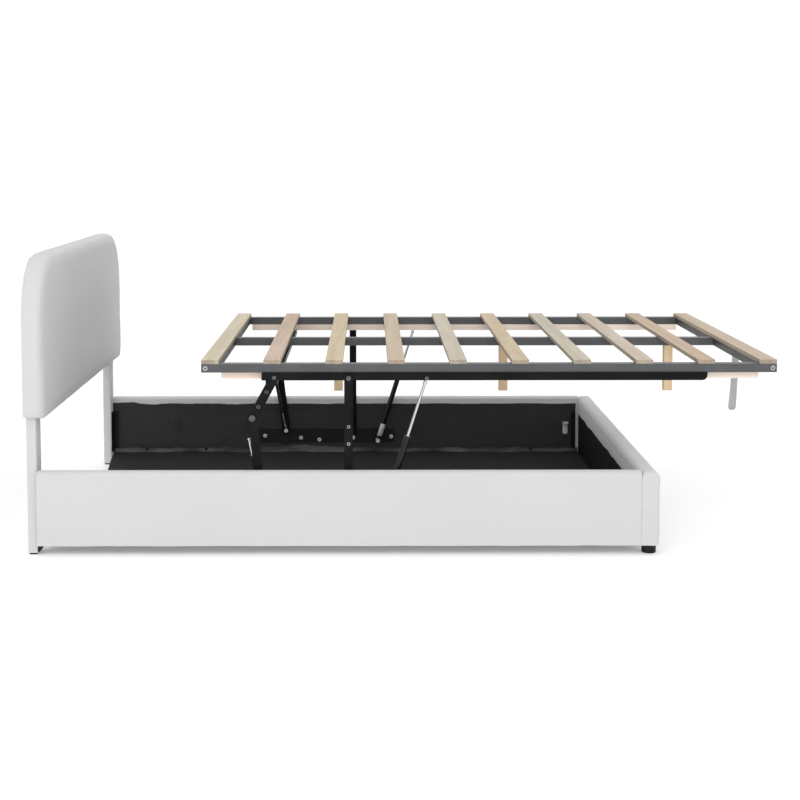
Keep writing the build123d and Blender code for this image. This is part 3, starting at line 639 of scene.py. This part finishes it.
def puff(piece, limit_at):
    start = [point.co.copy() for point in piece.data.vertices]
    outwards = normals_of(piece)
    cloth = add_modifier(piece, "CLOTH")
    cloth.settings.use_pressure = True
    cloth.settings.uniform_pressure_force = pressure
    cloth.settings.effector_weights.gravity = 0.0
    for number in range(1, last_frame + 1):
        scene.frame_set(number)
    apply_modifiers(piece)
    scene.frame_set(1)
    for point, home, normal in zip(piece.data.vertices, start, outwards):
        swollen = max((point.co - home).dot(normal), 0.0)
        point.co = home + normal * min(swollen, limit_at(home))


def fold(piece, start, end, width, height):
    """A soft ridge, or with a negative height a crease, that fades out at both ends."""
    start = Vector(start)
    line = Vector(end) - start
    reach = 2.5 * width
    for point, normal in zip(piece.data.vertices, normals_of(piece)):
        share = (point.co - start).dot(line) / line.length_squared
        if -0.1 < share < 1.1:
            nearest = start + line * min(max(share, 0.0), 1.0)
            away = (point.co - nearest).length
            if away < reach:
                fade = smooth_step(share, -0.1, 0.3) * smooth_step(-share, -1.1, -0.7)
                point.co += normal * height * fade * math.exp(-(away / width) ** 2)


def ripple(piece, height, size, seed, where=None):
    """Slow unevenness of the fabric, along each point's normal."""
    for point, normal in zip(piece.data.vertices, normals_of(piece)):
        amount = where(point.co) if where else 1.0
        if amount > 0:
            x, y, z = (place / length for place, length in zip(point.co, size))
            point.co += normal * height * amount * uneven(x, y, z + seed)


# %% [markdown]
# The headboard is a board with large round upper corners under 14 mm of foam. Its front rim is
# round except along the hem, which is drawn down crisp, and its back is flat, because the fabric
# is stapled there. It starts as a block whose corners are bevelled in edit mode, first the four in
# the outline and then the rims, and the two slots for the posts are cut when the fabric has its
# shape. The back is pressed between the board's edge and the black cloth that covers it.

# %% Headboard
pitch = 0.0125
swell = 0.002
back_swell = 0.0006
head_low, head_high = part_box("headboard_cover")
headboard = block_between("headboard_upholstery", head_low + Vector((back_swell, swell, swell)),
                          head_high - Vector((swell, swell, swell)))
corner_radius = 0.213
low_corner_radius = 0.028
rim_radius = 0.022
low_rim_radius = 0.008
back_rim_radius = 0.004
foam_give = 0.0045
head_side = head_high.y - swell
head_top = head_high.z - swell
head_bottom = head_low.z + swell
head_front = head_high.x - swell
head_back = head_low.x + back_swell
front_rim = both(0, head_front)
hem_rim = both(2, head_bottom)
round_edges(headboard, outline_corner(head_top, head_side), corner_radius, 18)
round_edges(headboard, outline_corner(head_bottom, head_side), low_corner_radius, 5)
round_edges(headboard, lambda p, q: front_rim(p, q) and hem_rim(p, q), low_rim_radius, 3)
round_edges(headboard, lambda p, q: front_rim(p, q) and not hem_rim(p, q), rim_radius, 6)
round_edges(headboard, both(0, head_back), back_rim_radius, 2)


def headboard_limit(home):
    """The foam at the front and sides gives, and the back lies on the board."""
    return back_swell if home.x < head_back + back_rim_radius else foam_give


add_modifier(headboard, "REMESH", mode="VOXEL", voxel_size=pitch)
apply_modifiers(headboard)
puff(headboard, headboard_limit)
add_modifier(headboard, "SMOOTH", factor=0.5, iterations=2)
finer(headboard, "CATMULL_CLARK")
hem_reach = 0.024
hem_shift = 0.0036
back_hem_shift = 0.0030
for point in headboard.data.vertices:
    near_front = smooth_step(point.co.x, head_front - hem_reach, head_front - hem_reach / 4)
    near_back = smooth_step(-point.co.x, -head_back - hem_reach, -head_back - hem_reach / 4)
    near_hem = smooth_step(-point.co.z, -head_bottom - hem_reach, -head_bottom - hem_reach / 4)
    point.co += Vector((1, 0, -1)) * hem_shift * near_front * near_hem
    point.co += Vector((-0.4, 0, -1)) * back_hem_shift * near_back * near_hem
ripple(headboard, 0.0012, (0.05, 0.16, 0.14), 3.1)
for side in (-1, 1):
    fold(headboard, (-1.2400, side * 0.770, 0.500), (-1.2400, side * 0.700, 0.640), 0.012, -0.0010)
    fold(headboard, (-1.2700, side * 0.829, 0.520), (-1.2650, side * 0.829, 0.800), 0.010, -0.0008)
back_low, back_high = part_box("headboard_back_cloth")
under_lining = back_low.x + 0.0004
over_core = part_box("headboard_core")[0].x - 0.0008
for point in headboard.data.vertices:
    if point.co.z > head_bottom + hem_reach:
        point.co.x = max(point.co.x, under_lining)
    if point.co.x < over_core + back_rim_radius:
        point.co.x = min(point.co.x, over_core)
leg_low, leg_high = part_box("leg_covers")
leg_width = 0.078
slot_clearance = 0.0004
overrun = 0.02


def cut_post_slots(piece):
    low = (head_low.x - overrun, leg_high.y - leg_width - slot_clearance, leg_low.z)
    high = (leg_high.x + slot_clearance, leg_high.y + slot_clearance, leg_high.z + slot_clearance)
    cut_away(piece, [block_on_side("slot_cutter", side, low, high) for side in (-1, 1)])


cut_post_slots(headboard)
finish_fabric(headboard, "base", "upholstery", upholstery, "headboard_cover")

# %% [markdown]
# A side panel is a narrow board, padded outside and over the top, with the fabric stapled tight
# inside. It is blown up like the headboard, but the limit is per face: 3 mm outside and on top,
# almost nothing inside, where the lining and the steel plates lie against it. Small creases near
# the head end, folds at the lower edge and short puckers are where the fabric is pulled tight.

# %% Side panels
wall_low_corner, wall_high_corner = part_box("side_panel_cover_left")
top_swell = 0.0015
foot_overlap = 0.0009
panel_head = wall_low_corner.x
panel_foot = wall_high_corner.x + foot_overlap
wall_inner = 0.7711
wall_outer = wall_high_corner.y
wall_low = wall_low_corner.z
wall_top = wall_high_corner.z - top_swell
inner_top_radius = 0.0120
outer_top_radius = 0.0165
panel_end_radius = 0.007
butted_end_radius = 0.0012
panel_give = 0.0030
wrap_give = 0.0010
side_wrap_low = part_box("side_panel_liners")[1].z + 0.001
foot_wrap_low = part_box("foot_panel_liner")[1].z + 0.007
puckers = ((-0.508, 0.210, 0.020), (-0.616, 0.184, 0.026), (-0.782, 0.210, 0.016),
           (-0.765, 0.089, 0.020), (-0.413, 0.163, 0.018), (-0.622, 0.123, 0.014))


def near_end(x):
    """On the butted ends of a side panel, which don't swell."""
    return x < panel_head + 0.001 or x > panel_foot - 0.0015


def panel_limit(wall, foot):
    """How far a panel's fabric may swell at a place. wall is the inner face's place."""
    def limit_at(home):
        inside = abs(home.y) < wall + 0.004 if not foot else home.x < wall + 0.003
        wrapped = home.z > (foot_wrap_low if foot else side_wrap_low)
        if inside:
            return wrap_give if wrapped else 0.0
        if home.z < wall_low + 0.003 or (not foot and near_end(home.x)):
            return 0.0
        return panel_give
    return limit_at


def outer_rim(end):
    """The edges of a side panel's end that don't lie on its inner face."""
    return lambda p, q: both(0, end)(p, q) and max(abs(p.y), abs(q.y)) > wall_inner + 0.005


def outside(home):
    return smooth_step(abs(home.y), 0.790, 0.806)


for name, side in sides:
    low = (panel_head, wall_inner, wall_low)
    high = (panel_foot, wall_outer - swell, wall_top)
    panel = block_on_side(f"side_panel_upholstery_{name}", side, low, high)
    top_edge = both(2, wall_top)
    for y, radius, steps in ((low[1], inner_top_radius, 4), (high[1], outer_top_radius, 5)):
        round_edges(panel, lambda p, q: top_edge(p, q) and both(1, side * y)(p, q), radius, steps)
    round_edges(panel, outer_rim(panel_head), panel_end_radius, 3)
    round_edges(panel, outer_rim(panel_foot), butted_end_radius, 2)
    cut_grid(panel, pitch)
    puff(panel, panel_limit(wall_inner, False))
    finer(panel, "SIMPLE")
    ripple(panel, 0.0011, (0.11, 0.05, 0.07), 5.3 * side, outside)
    ripple(panel, 0.0009, (0.035, 0.05, 0.30), 7.9 * side,
           lambda home: outside(home) * smooth_step(-home.z, -0.085, -0.045))
    y = side * wall_outer
    fold(panel, (-1.255, y, 0.226), (-1.150, y, 0.219), 0.007, -0.0013)
    fold(panel, (-1.258, y, 0.152), (-1.175, y, 0.146), 0.006, -0.0011)
    for number, x in enumerate((-1.085, -1.052, -1.020, -0.985, -0.963)):
        lean = 0.004 * (number % 3 - 1)
        fold(panel, (x, y, 0.036), (x + lean, y, 0.078 + 0.006 * (number % 2)), 0.005, -0.0014)
    for x, z, length in puckers:
        fold(panel, (x, y, z), (x + length, y, z + 0.4 * length), 0.0055, -0.0013)
    finish_fabric(panel, "base", "upholstery", upholstery, f"side_panel_cover_{name}")

# %% [markdown]
# The foot panel is thicker and closes the box across the ends of the side panels. Its fabric wraps
# 79 mm down inside, above the lining, with loose puckers where it turns the corners.

# %% Foot panel
foot_low, foot_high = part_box("foot_panel_cover")
foot_inner = foot_low.x + 0.0012
foot_outer = foot_high.x - swell
foot_top = foot_high.z - top_swell
foot_top_radius = 0.0235
low = (foot_inner, foot_low.y + swell, foot_low.z)
foot_panel = block_between("foot_panel_upholstery", low, (foot_outer, foot_high.y - swell, foot_top))
round_edges(foot_panel, both(2, foot_top), foot_top_radius, 6)
outer_face = both(0, foot_outer)
round_edges(foot_panel, lambda p, q: outer_face(p, q) and abs(p.y - q.y) < same_place,
            panel_end_radius, 3)
cut_grid(foot_panel, pitch)
puff(foot_panel, panel_limit(foot_inner, True))
finer(foot_panel, "SIMPLE")
ripple(foot_panel, 0.0012, (0.05, 0.10, 0.06), 11.7, lambda home: smooth_step(home.x, 0.85, 0.87))
ripple(foot_panel, 0.0010, (0.04, 0.05, 0.05), 13.1,
       lambda home: smooth_step(home.z, 0.255, 0.275) * smooth_step(abs(home.y), 0.45, 0.78))
finish_fabric(foot_panel, "base", "upholstery", upholstery, "foot_panel_cover")

# %% [markdown]
# The posts of the headboard wear sleeves of the same fabric, pulled on tight and glued. A sleeve
# is an open tube, so it is a block without its two ends, with a ring of cuts along its height,
# rounded edges and a fabric's thickness. It creases a little across the post near the floor.

# %% Leg sleeves
sleeve_cuts = 60
sleeve_thickness = 0.0012
sleeve_edge_radius = 0.004


def upright(p, q):
    return abs(p.z - q.z) > 0.1


for name, side in sides:
    low = (leg_low.x, leg_high.y - leg_width, leg_low.z)
    sleeve = block_on_side(f"leg_sleeve_{name}", side, low, leg_high)
    work_on(sleeve)
    bpy.context.tool_settings.mesh_select_mode = (False, False, True)
    for face in sleeve.data.polygons:
        face.select = abs(face.normal.z) > 0.9
    bpy.ops.object.mode_set(mode="EDIT")
    bpy.ops.mesh.delete(type="FACE")
    bpy.ops.object.mode_set(mode="OBJECT")
    round_edges(sleeve, upright, sleeve_edge_radius, 3)
    choose_edges(sleeve, upright)
    bpy.ops.mesh.subdivide(number_cuts=sleeve_cuts)
    bpy.ops.mesh.select_all(action="SELECT")
    bpy.ops.mesh.normals_make_consistent(inside=False)
    bpy.ops.object.mode_set(mode="OBJECT")
    ripple(sleeve, 0.0006, (0.05, 0.05, 0.05), 17.3 * side)
    ripple(sleeve, 0.0010, (0.2, 0.2, 0.012), 19.9 * side,
           lambda home: smooth_step(-home.z, -0.11, -0.04))
    thicken(sleeve, sleeve_thickness, -1.0)
    finish_fabric(sleeve, "base", "upholstery", upholstery)
    if side > 0:
        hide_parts("leg_covers")

# %% [markdown]
# The linings are stapled sheets. A flat card would do for a taut one, but these hang a little
# slack: the upper edge waves and overlaps the fabric, and the cloth stands off the board where
# no steel presses on it. So each is a fine grid stood up at its place, whose points move off the
# wall by a slow noise that dies out at the hardware.

# %% Side and foot linings
lining_thickness = 0.0007
lining_face = 0.7702
liner_low, liner_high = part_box("side_panel_liners")
tuft_x = -0.9765
tuft_z = 0.176
lining_slack = 0.0036
lining_overlap = 0.0018
tuft_height = 0.0065
foot_slack = 0.0040
head_rise = 0.006
hardware_clearance = 0.004
hardware_margin = 0.035
hardware_spots = (
    (-0.770, 0.060, 0.030, 0.245),
    (0.750, 0.830, 0.030, 0.235),
    (-1.270, -1.215, 0.030, 0.235),
    (-1.160, -1.108, 0.110, 0.195),
)


def grid_sheet(name, middle, turn, size, cells):
    deselect_all()
    bpy.ops.mesh.primitive_grid_add(x_subdivisions=cells[0], y_subdivisions=cells[1], size=1,
                                    location=middle, rotation=turn)
    return settle(bpy.context.object, name, (size[0], size[1], 1))


def clear_of_hardware(x, z):
    """0 over the hardware, rising to 1 at a margin from it."""
    share = 1.0
    for x0, x1, z0, z1 in hardware_spots:
        away = math.hypot(max(x0 - x, x - x1, 0.0), max(z0 - z, z - z1, 0.0))
        share = min(share, smooth_step(away, hardware_clearance, hardware_margin))
    return share


def off_the_wall(x, z, seed):
    """How far the side lining stands off its board."""
    slack = 0.5 + 0.5 * uneven(x / 0.09, z / 0.06, seed)
    fine = 0.5 + 0.5 * uneven(x / 0.02, z / 0.045, seed + 9)
    loose = clear_of_hardware(x, z) * smooth_step(z, 0.056, 0.085)
    lifted = lining_slack * loose * (0.7 * slack + 0.3 * fine)
    overlap = lining_overlap * smooth_step(z, 0.236, 0.256)
    tuft = math.exp(-((x - tuft_x) / 0.022) ** 2 - ((z - tuft_z) / 0.035) ** 2)
    pinched = tuft_height * tuft * math.cos((x - tuft_x) * 2 * math.pi / 0.022) ** 2
    return lifted + overlap + pinched


def upper_edge(along, seed, grown):
    """The wave of the lining's upper edge, larger towards the head end."""
    slow = uneven(along / 0.13, seed)
    quick = uneven(along / 0.035, seed, 5.0)
    return grown * (0.0075 * slow + 0.0022 * quick)


for name, side in sides:
    middle = ((liner_low.x + liner_high.x) / 2, side * lining_face, (liner_low.z + liner_high.z) / 2)
    size = (liner_high.x - liner_low.x, liner_high.z - liner_low.z)
    sheet = grid_sheet(f"side_lining_{name}", middle, (math.pi / 2, 0, 0), size, (420, 46))
    for point in sheet.data.vertices:
        x, z = point.co.x, point.co.z
        edge = smooth_step(z, 0.18, liner_high.z)
        grown = 0.35 + 0.65 * smooth_step(-x, -0.2, 0.9)
        raised = head_rise * smooth_step(-x, 1.08, 1.18)
        point.co.z += edge * (upper_edge(x, 2.0 * side, grown) + raised)
        point.co.y = side * (lining_face - off_the_wall(x, z, 4.0 * side))
    thicken(sheet, lining_thickness)
    finish_fabric(sheet, "base", "lining", lining)
    if side > 0:
        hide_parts("side_panel_liners")

foot_liner_low, foot_liner_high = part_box("foot_panel_liner")
foot_lining_x = foot_liner_low.x + 0.0004
middle = (foot_lining_x, 0, (foot_liner_low.z + foot_liner_high.z) / 2)
size = (foot_liner_high.y - foot_liner_low.y - 0.001, foot_liner_high.z - foot_liner_low.z)
foot_sheet = grid_sheet("foot_lining", middle, (math.pi / 2, 0, math.pi / 2), size, (300, 36))
for point in foot_sheet.data.vertices:
    y, z = point.co.y, point.co.z
    slack = 0.5 + 0.5 * uneven(y / 0.09, z / 0.06, 31.0)
    loose = smooth_step(z, 0.056, 0.090) * smooth_step(-abs(y), -0.735, -0.690)
    point.co.x -= foot_slack * loose * slack
    point.co.z += smooth_step(z, 0.15, foot_liner_high.z) * upper_edge(y, 8.0, 0.6)
thicken(foot_sheet, lining_thickness)
# The foot lining is covered with the darker copy of the lining, as painted shade.
finish_fabric(foot_sheet, "base", "lining", foot_lining_painted_shade, "foot_panel_liner")

# %% [markdown]
# Behind the headboard a black cloth hides the board. It is cut round the posts, and stapled just
# inside the fabric's edge. A grid could be trimmed to the outline, but here the outline itself
# is made first, as a thin block bevelled like the headboard, and the slots are cut through it.

# %% Headboard back lining
back_gap = 0.0004
low = (back_low.x - back_gap, back_low.y, back_low.z)
high = (back_low.x + lining_thickness - back_gap, back_high.y, back_high.z)
back_sheet = block_between("headboard_back_lining", low, high)
for height, radius, steps in ((back_high.z, 0.187, 16), (back_low.z, 0.006, 3)):
    round_edges(back_sheet, outline_corner(height, back_high.y), radius, steps)
cut_post_slots(back_sheet)
finish_fabric(back_sheet, "base", "lining", lining, "headboard_back_cloth")

# %% [markdown]
# The bottom of the box is a board with a loose black cloth over it, wider than the box, so its
# edges turn up against the side walls. The cloth is a flat grid, cut to its real width, whose
# points are then laid: flat on the board, round a small bend, and up the wall to a wavy edge. At
# the head end its corners reach out past the board, and holes are cut for the centre legs.

# %% Floor cloth
board_low, board_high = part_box("storage_floor")
cloth_thickness = 0.0008
bend_start = 0.755
bend_radius = 0.0115
turned_up = 0.0125
half_cut = bend_start + bend_radius * math.pi / 2 + turned_up
cloth_z = board_high.z + cloth_thickness / 2 + 0.0001
middle = ((board_low.x + board_high.x) / 2, 0, cloth_z)
size = (board_high.x - board_low.x - 0.002, 2 * half_cut)
head_edge = board_low.x + 0.001
corner_reach = 0.042
corner_length = 0.30
pulled_up_x = -0.42
flat_rows = 0.6
flat_reach = 0.735
floor_cloth = grid_sheet("floor_cloth", middle, (0, 0, 0), size, (300, 120))


def spread(share):
    """The distance from the centre line of a row of the grid, with close rows at the bend."""
    if share < flat_rows:
        return share / flat_rows * flat_reach
    return flat_reach + (share - flat_rows) / (1 - flat_rows) * (half_cut - flat_reach)


def laid(x, cut):
    """Where a point of the cut cloth lies: its distance from the centre line, and its height."""
    if cut < bend_start:
        return cut, 0.0
    turned = (cut - bend_start) / bend_radius
    if turned < math.pi / 2:
        return bend_start + bend_radius * math.sin(turned), bend_radius * (1 - math.cos(turned))
    rise = cut - bend_start - bend_radius * math.pi / 2
    wave = 0.55 + 0.45 * uneven(x / 0.10, 41.0)
    wave += 1.1 * math.exp(-((x - pulled_up_x) / 0.13) ** 2)
    rise *= wave + 0.35 * uneven(x / 0.03, 43.0)
    return bend_start + bend_radius, bend_radius + max(rise, 0.0005)


for point in floor_cloth.data.vertices:
    x = point.co.x
    cut = math.copysign(spread(min(abs(point.co.y) / half_cut, 1.0)), point.co.y)
    across, height = laid(x, abs(cut))
    slack = max(uneven(x / 0.16, cut / 0.11, 47.0), 0.0)
    ridge = max(uneven(x / 0.05, cut / 0.30, 53.0) - 0.15, 0.0)
    flat_share = smooth_step(-abs(cut), -flat_reach, -0.69)
    near_head = smooth_step(-x, -head_edge - corner_length, -head_edge)
    point.co.x -= corner_reach * near_head * smooth_step(abs(cut), 0.20, 0.76)
    point.co.y = math.copysign(across, cut)
    point.co.z = cloth_z + height + flat_share * (0.0020 * slack + 0.0014 * ridge)
thicken(floor_cloth, cloth_thickness)
leg_drop_x = 0.4973
hole_reach = 0.025
hole_foot_reach = 0.0307
centre_leg_x = (-0.2365, 0.4165, 1.0695)
cutters = []
for raised_x in centre_leg_x:
    x = raised_x - leg_drop_x
    low = (x - hole_reach, -hole_reach, board_low.z)
    high = (x + hole_foot_reach, hole_reach, board_high.z + overrun)
    cutters.append(block_between("hole_cutter", low, high))
cut_away(floor_cloth, cutters)
finish_fabric(floor_cloth, "base", "lining", floor_lining)

# %% [markdown]
# Flat black studs pin the turned-up edge to the wall. One stud is a short round with bevelled
# rims, and those on the walls are copies of it with their own meshes.

# %% Studs of the floor cloth
stud_x = (-1.1125, -0.8465, 0.612)
stud_radius = 0.007
stud_height = 0.0026
stud_z = 0.0600
stud_face = bend_start + bend_radius - cloth_thickness / 2
deselect_all()
bpy.ops.mesh.primitive_cylinder_add(vertices=24, radius=stud_radius, depth=stud_height,
                                    rotation=(math.pi / 2, 0, 0))
first_stud = settle(bpy.context.object, "cloth_stud")
stud_rim_radius = 0.0012
round_edges(first_stud, lambda p, q: abs(p.y - q.y) < 1e-5, stud_rim_radius, 3)
for name, side in sides:
    for number, x in enumerate(stud_x, 1):
        stud = first_stud.copy()
        stud.data = first_stud.data.copy()
        scene.collection.objects.link(stud)
        stud.location = (x, side * (stud_face - stud_height / 2), stud_z)
        settle(stud, f"cloth_stud_{name}_{number}")
        finish_piece(stud, "base", plastic)
work_on(first_stud)
bpy.ops.object.delete()
print("studs", 2 * len(stud_x))

# %% [markdown]
# The pull strap is a loop of webbing that hangs from the foot rail. It is one ribbon folded in
# half, so its line is drawn first, down, round the loop and up again, and the ribbon's width is
# swept along it. As the platform sinks the real strap folds up on the floor.

# %% Pull strap
strap_low, strap_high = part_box("pull_strap")
strap_width = 0.025
strap_sway = strap_high.x - strap_low.x - strap_width
strap_middle_y = (strap_low.y + strap_high.y) / 2
strap_gap = 0.0016
strap_thickness = 0.0011
loop_radius = 0.0024
loop_share = 0.06
strap_steps = 40


def strap_line(share):
    """Half the strap, from its loop at 0 to the rail at 1: (distance off the middle, height)."""
    height = strap_low.z + loop_radius + share * (strap_high.z - strap_low.z - loop_radius)
    closed = smooth_step(share, 0.0, 0.2)
    return loop_radius * (1 - closed) + strap_gap * closed, height


deselect_all()
bpy.ops.mesh.primitive_grid_add(x_subdivisions=8, y_subdivisions=2 * strap_steps + 8, size=1)
strap = settle(bpy.context.object, "pull_strap_webbing")
for point in strap.data.vertices:
    across = point.co.x
    along = point.co.y * 2
    if abs(along) > loop_share:
        wide, height = strap_line((abs(along) - loop_share) / (1 - loop_share))
        off = math.copysign(wide, along)
    else:
        angle = along / loop_share * math.pi / 2
        off = loop_radius * math.sin(angle)
        height = strap_low.z + loop_radius * (1 - math.cos(angle))
    hang = (strap_high.z - height) / (strap_high.z - strap_low.z)
    middle_x = strap_high.x - strap_width / 2 - strap_sway * hang ** 1.4
    pucker = 0.0007 * uneven(across * 3, height / 0.018, 61.0) * smooth_step(hang, 0.3, 0.9)
    narrow = 1 + 0.10 * smooth_step(hang, 0.55, 0.85) - 0.45 * smooth_step(hang, 0.955, 1.0) ** 2
    point.co = Vector((middle_x + across * strap_width * narrow, strap_middle_y + off + pucker, height))
thicken(strap, strap_thickness)
cord_pitch = 0.0016
pick_pitch = 0.0011


def make_webbing(name, light, dark):
    finish, tree = new_finish(name, Roughness=0.7, Sheen_Weight=0.3, Specular_IOR_Level=0.3)
    cord_rows = ribs(tree, places(tree, source="UV"), thread_scale(cord_pitch), 0.2, "X")
    picks = ribs(tree, places(tree, source="UV"), thread_scale(pick_pitch), 0.3, "Y")
    dusty = speckle(tree, places(tree), 70.0, 3.0)
    shade = layered(tree, dark, light, cord_rows, 0.1, 0.9)
    shade = layered(tree, shade, dark, dusty, 0.35, 0.7, 0.4)
    return dress(finish, shade, None, reckon(tree, "ADD", cord_rows, picks), 0.0005)


webbing = make_webbing("webbing", (0.68, 0.67, 0.67), (0.55, 0.54, 0.55))
finish_fabric(strap, "platform", "webbing", webbing, "pull_strap")
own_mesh(strap)

# %% [markdown]
# Each main gas strut wears a plain silver sleeve near the foot of its black cylinder. It is a
# short tube on the strut's own line, made in thin metal and given rolled rims by a bevel.

# %% Strut sleeves
strut_foot = Vector((-0.0755, 0.0, 0.103))
strut_top = Vector((0.0845, 0.0, 0.609))
strut_line = (strut_top - strut_foot).normalized()
strut_y = 0.736
band_radius = 0.0114
band_length = 0.056
band_start = 0.024
band_thickness = 0.0006
tilt = math.atan2(strut_line.x, strut_line.z)
spot = strut_foot + strut_line * (band_start + band_length / 2)
for name, side in sides:
    deselect_all()
    bpy.ops.mesh.primitive_cylinder_add(vertices=48, radius=band_radius, depth=band_length,
                                        end_fill_type="NOTHING",
                                        location=(spot.x, side * strut_y, spot.z),
                                        rotation=(0, tilt, 0))
    band = settle(bpy.context.object, f"strut_sleeve_{name}")
    thicken(band, band_thickness, -1.0)
    add_modifier(band, "BEVEL", width=band_thickness / 3, segments=2, limit_method="ANGLE")
    apply_modifiers(band)
    finish_piece(band, "main_strut_cylinders", strut_sleeve)
print("two strut sleeves")

# %% [markdown]
# The bed stands on a plain pale floor. Soft light comes from all round, less from the head and
# foot ends, so that the long side is the brightest and the headboard's face falls into a light
# grey, and one broad lamp above the camera adds a little form.

# %% Floor and light
deselect_all()
floor_size = 60
bpy.ops.mesh.primitive_plane_add(size=floor_size, location=(0, 0, 0))
ground = settle(bpy.context.object, "studio_floor")
white = (1, 1, 1)
floor_finish, tree = new_finish("studio_floor", Roughness=0.9, Specular_IOR_Level=0.1,
                                Emission_Color=white, Emission_Strength=0.22)
paper = speckle(tree, places(tree), 40.0, 3.0)
shade = layered(tree, (0.90, 0.90, 0.90), (0.88, 0.88, 0.88), paper, 0.3, 0.7)
cover_with(ground, dress(floor_finish, shade))

studio = bpy.data.worlds.new("studio")
studio.use_nodes = True
scene.world = studio
sky = studio.node_tree
facing = add(sky, "ShaderNodeTexCoord", {}).outputs["Generated"]
endways = reckon(sky, "ABSOLUTE", height_of(sky, facing, "X"), 0.0)
side_glow = 1.03
end_glow = 0.67
glow = ranged(sky, endways, 0.35, 0.95, side_glow, end_glow)
join(sky, sky.nodes["Background"].inputs["Color"], white)
join(sky, sky.nodes["Background"].inputs["Strength"], glow)

lamp_place = (-0.6, -5.0, 3.6)
lamp_tilt = math.radians(58)
bpy.ops.object.light_add(type="AREA", location=lamp_place, rotation=(lamp_tilt, 0, 0))
lamp = bpy.context.object
lamp.name = "key_light"
lamp.data.shape = "RECTANGLE"
lamp.data.size = 4.0
lamp.data.size_y = 2.0
lamp.data.energy = 60.0
scene.view_settings.view_transform = "Standard"
print("lit")
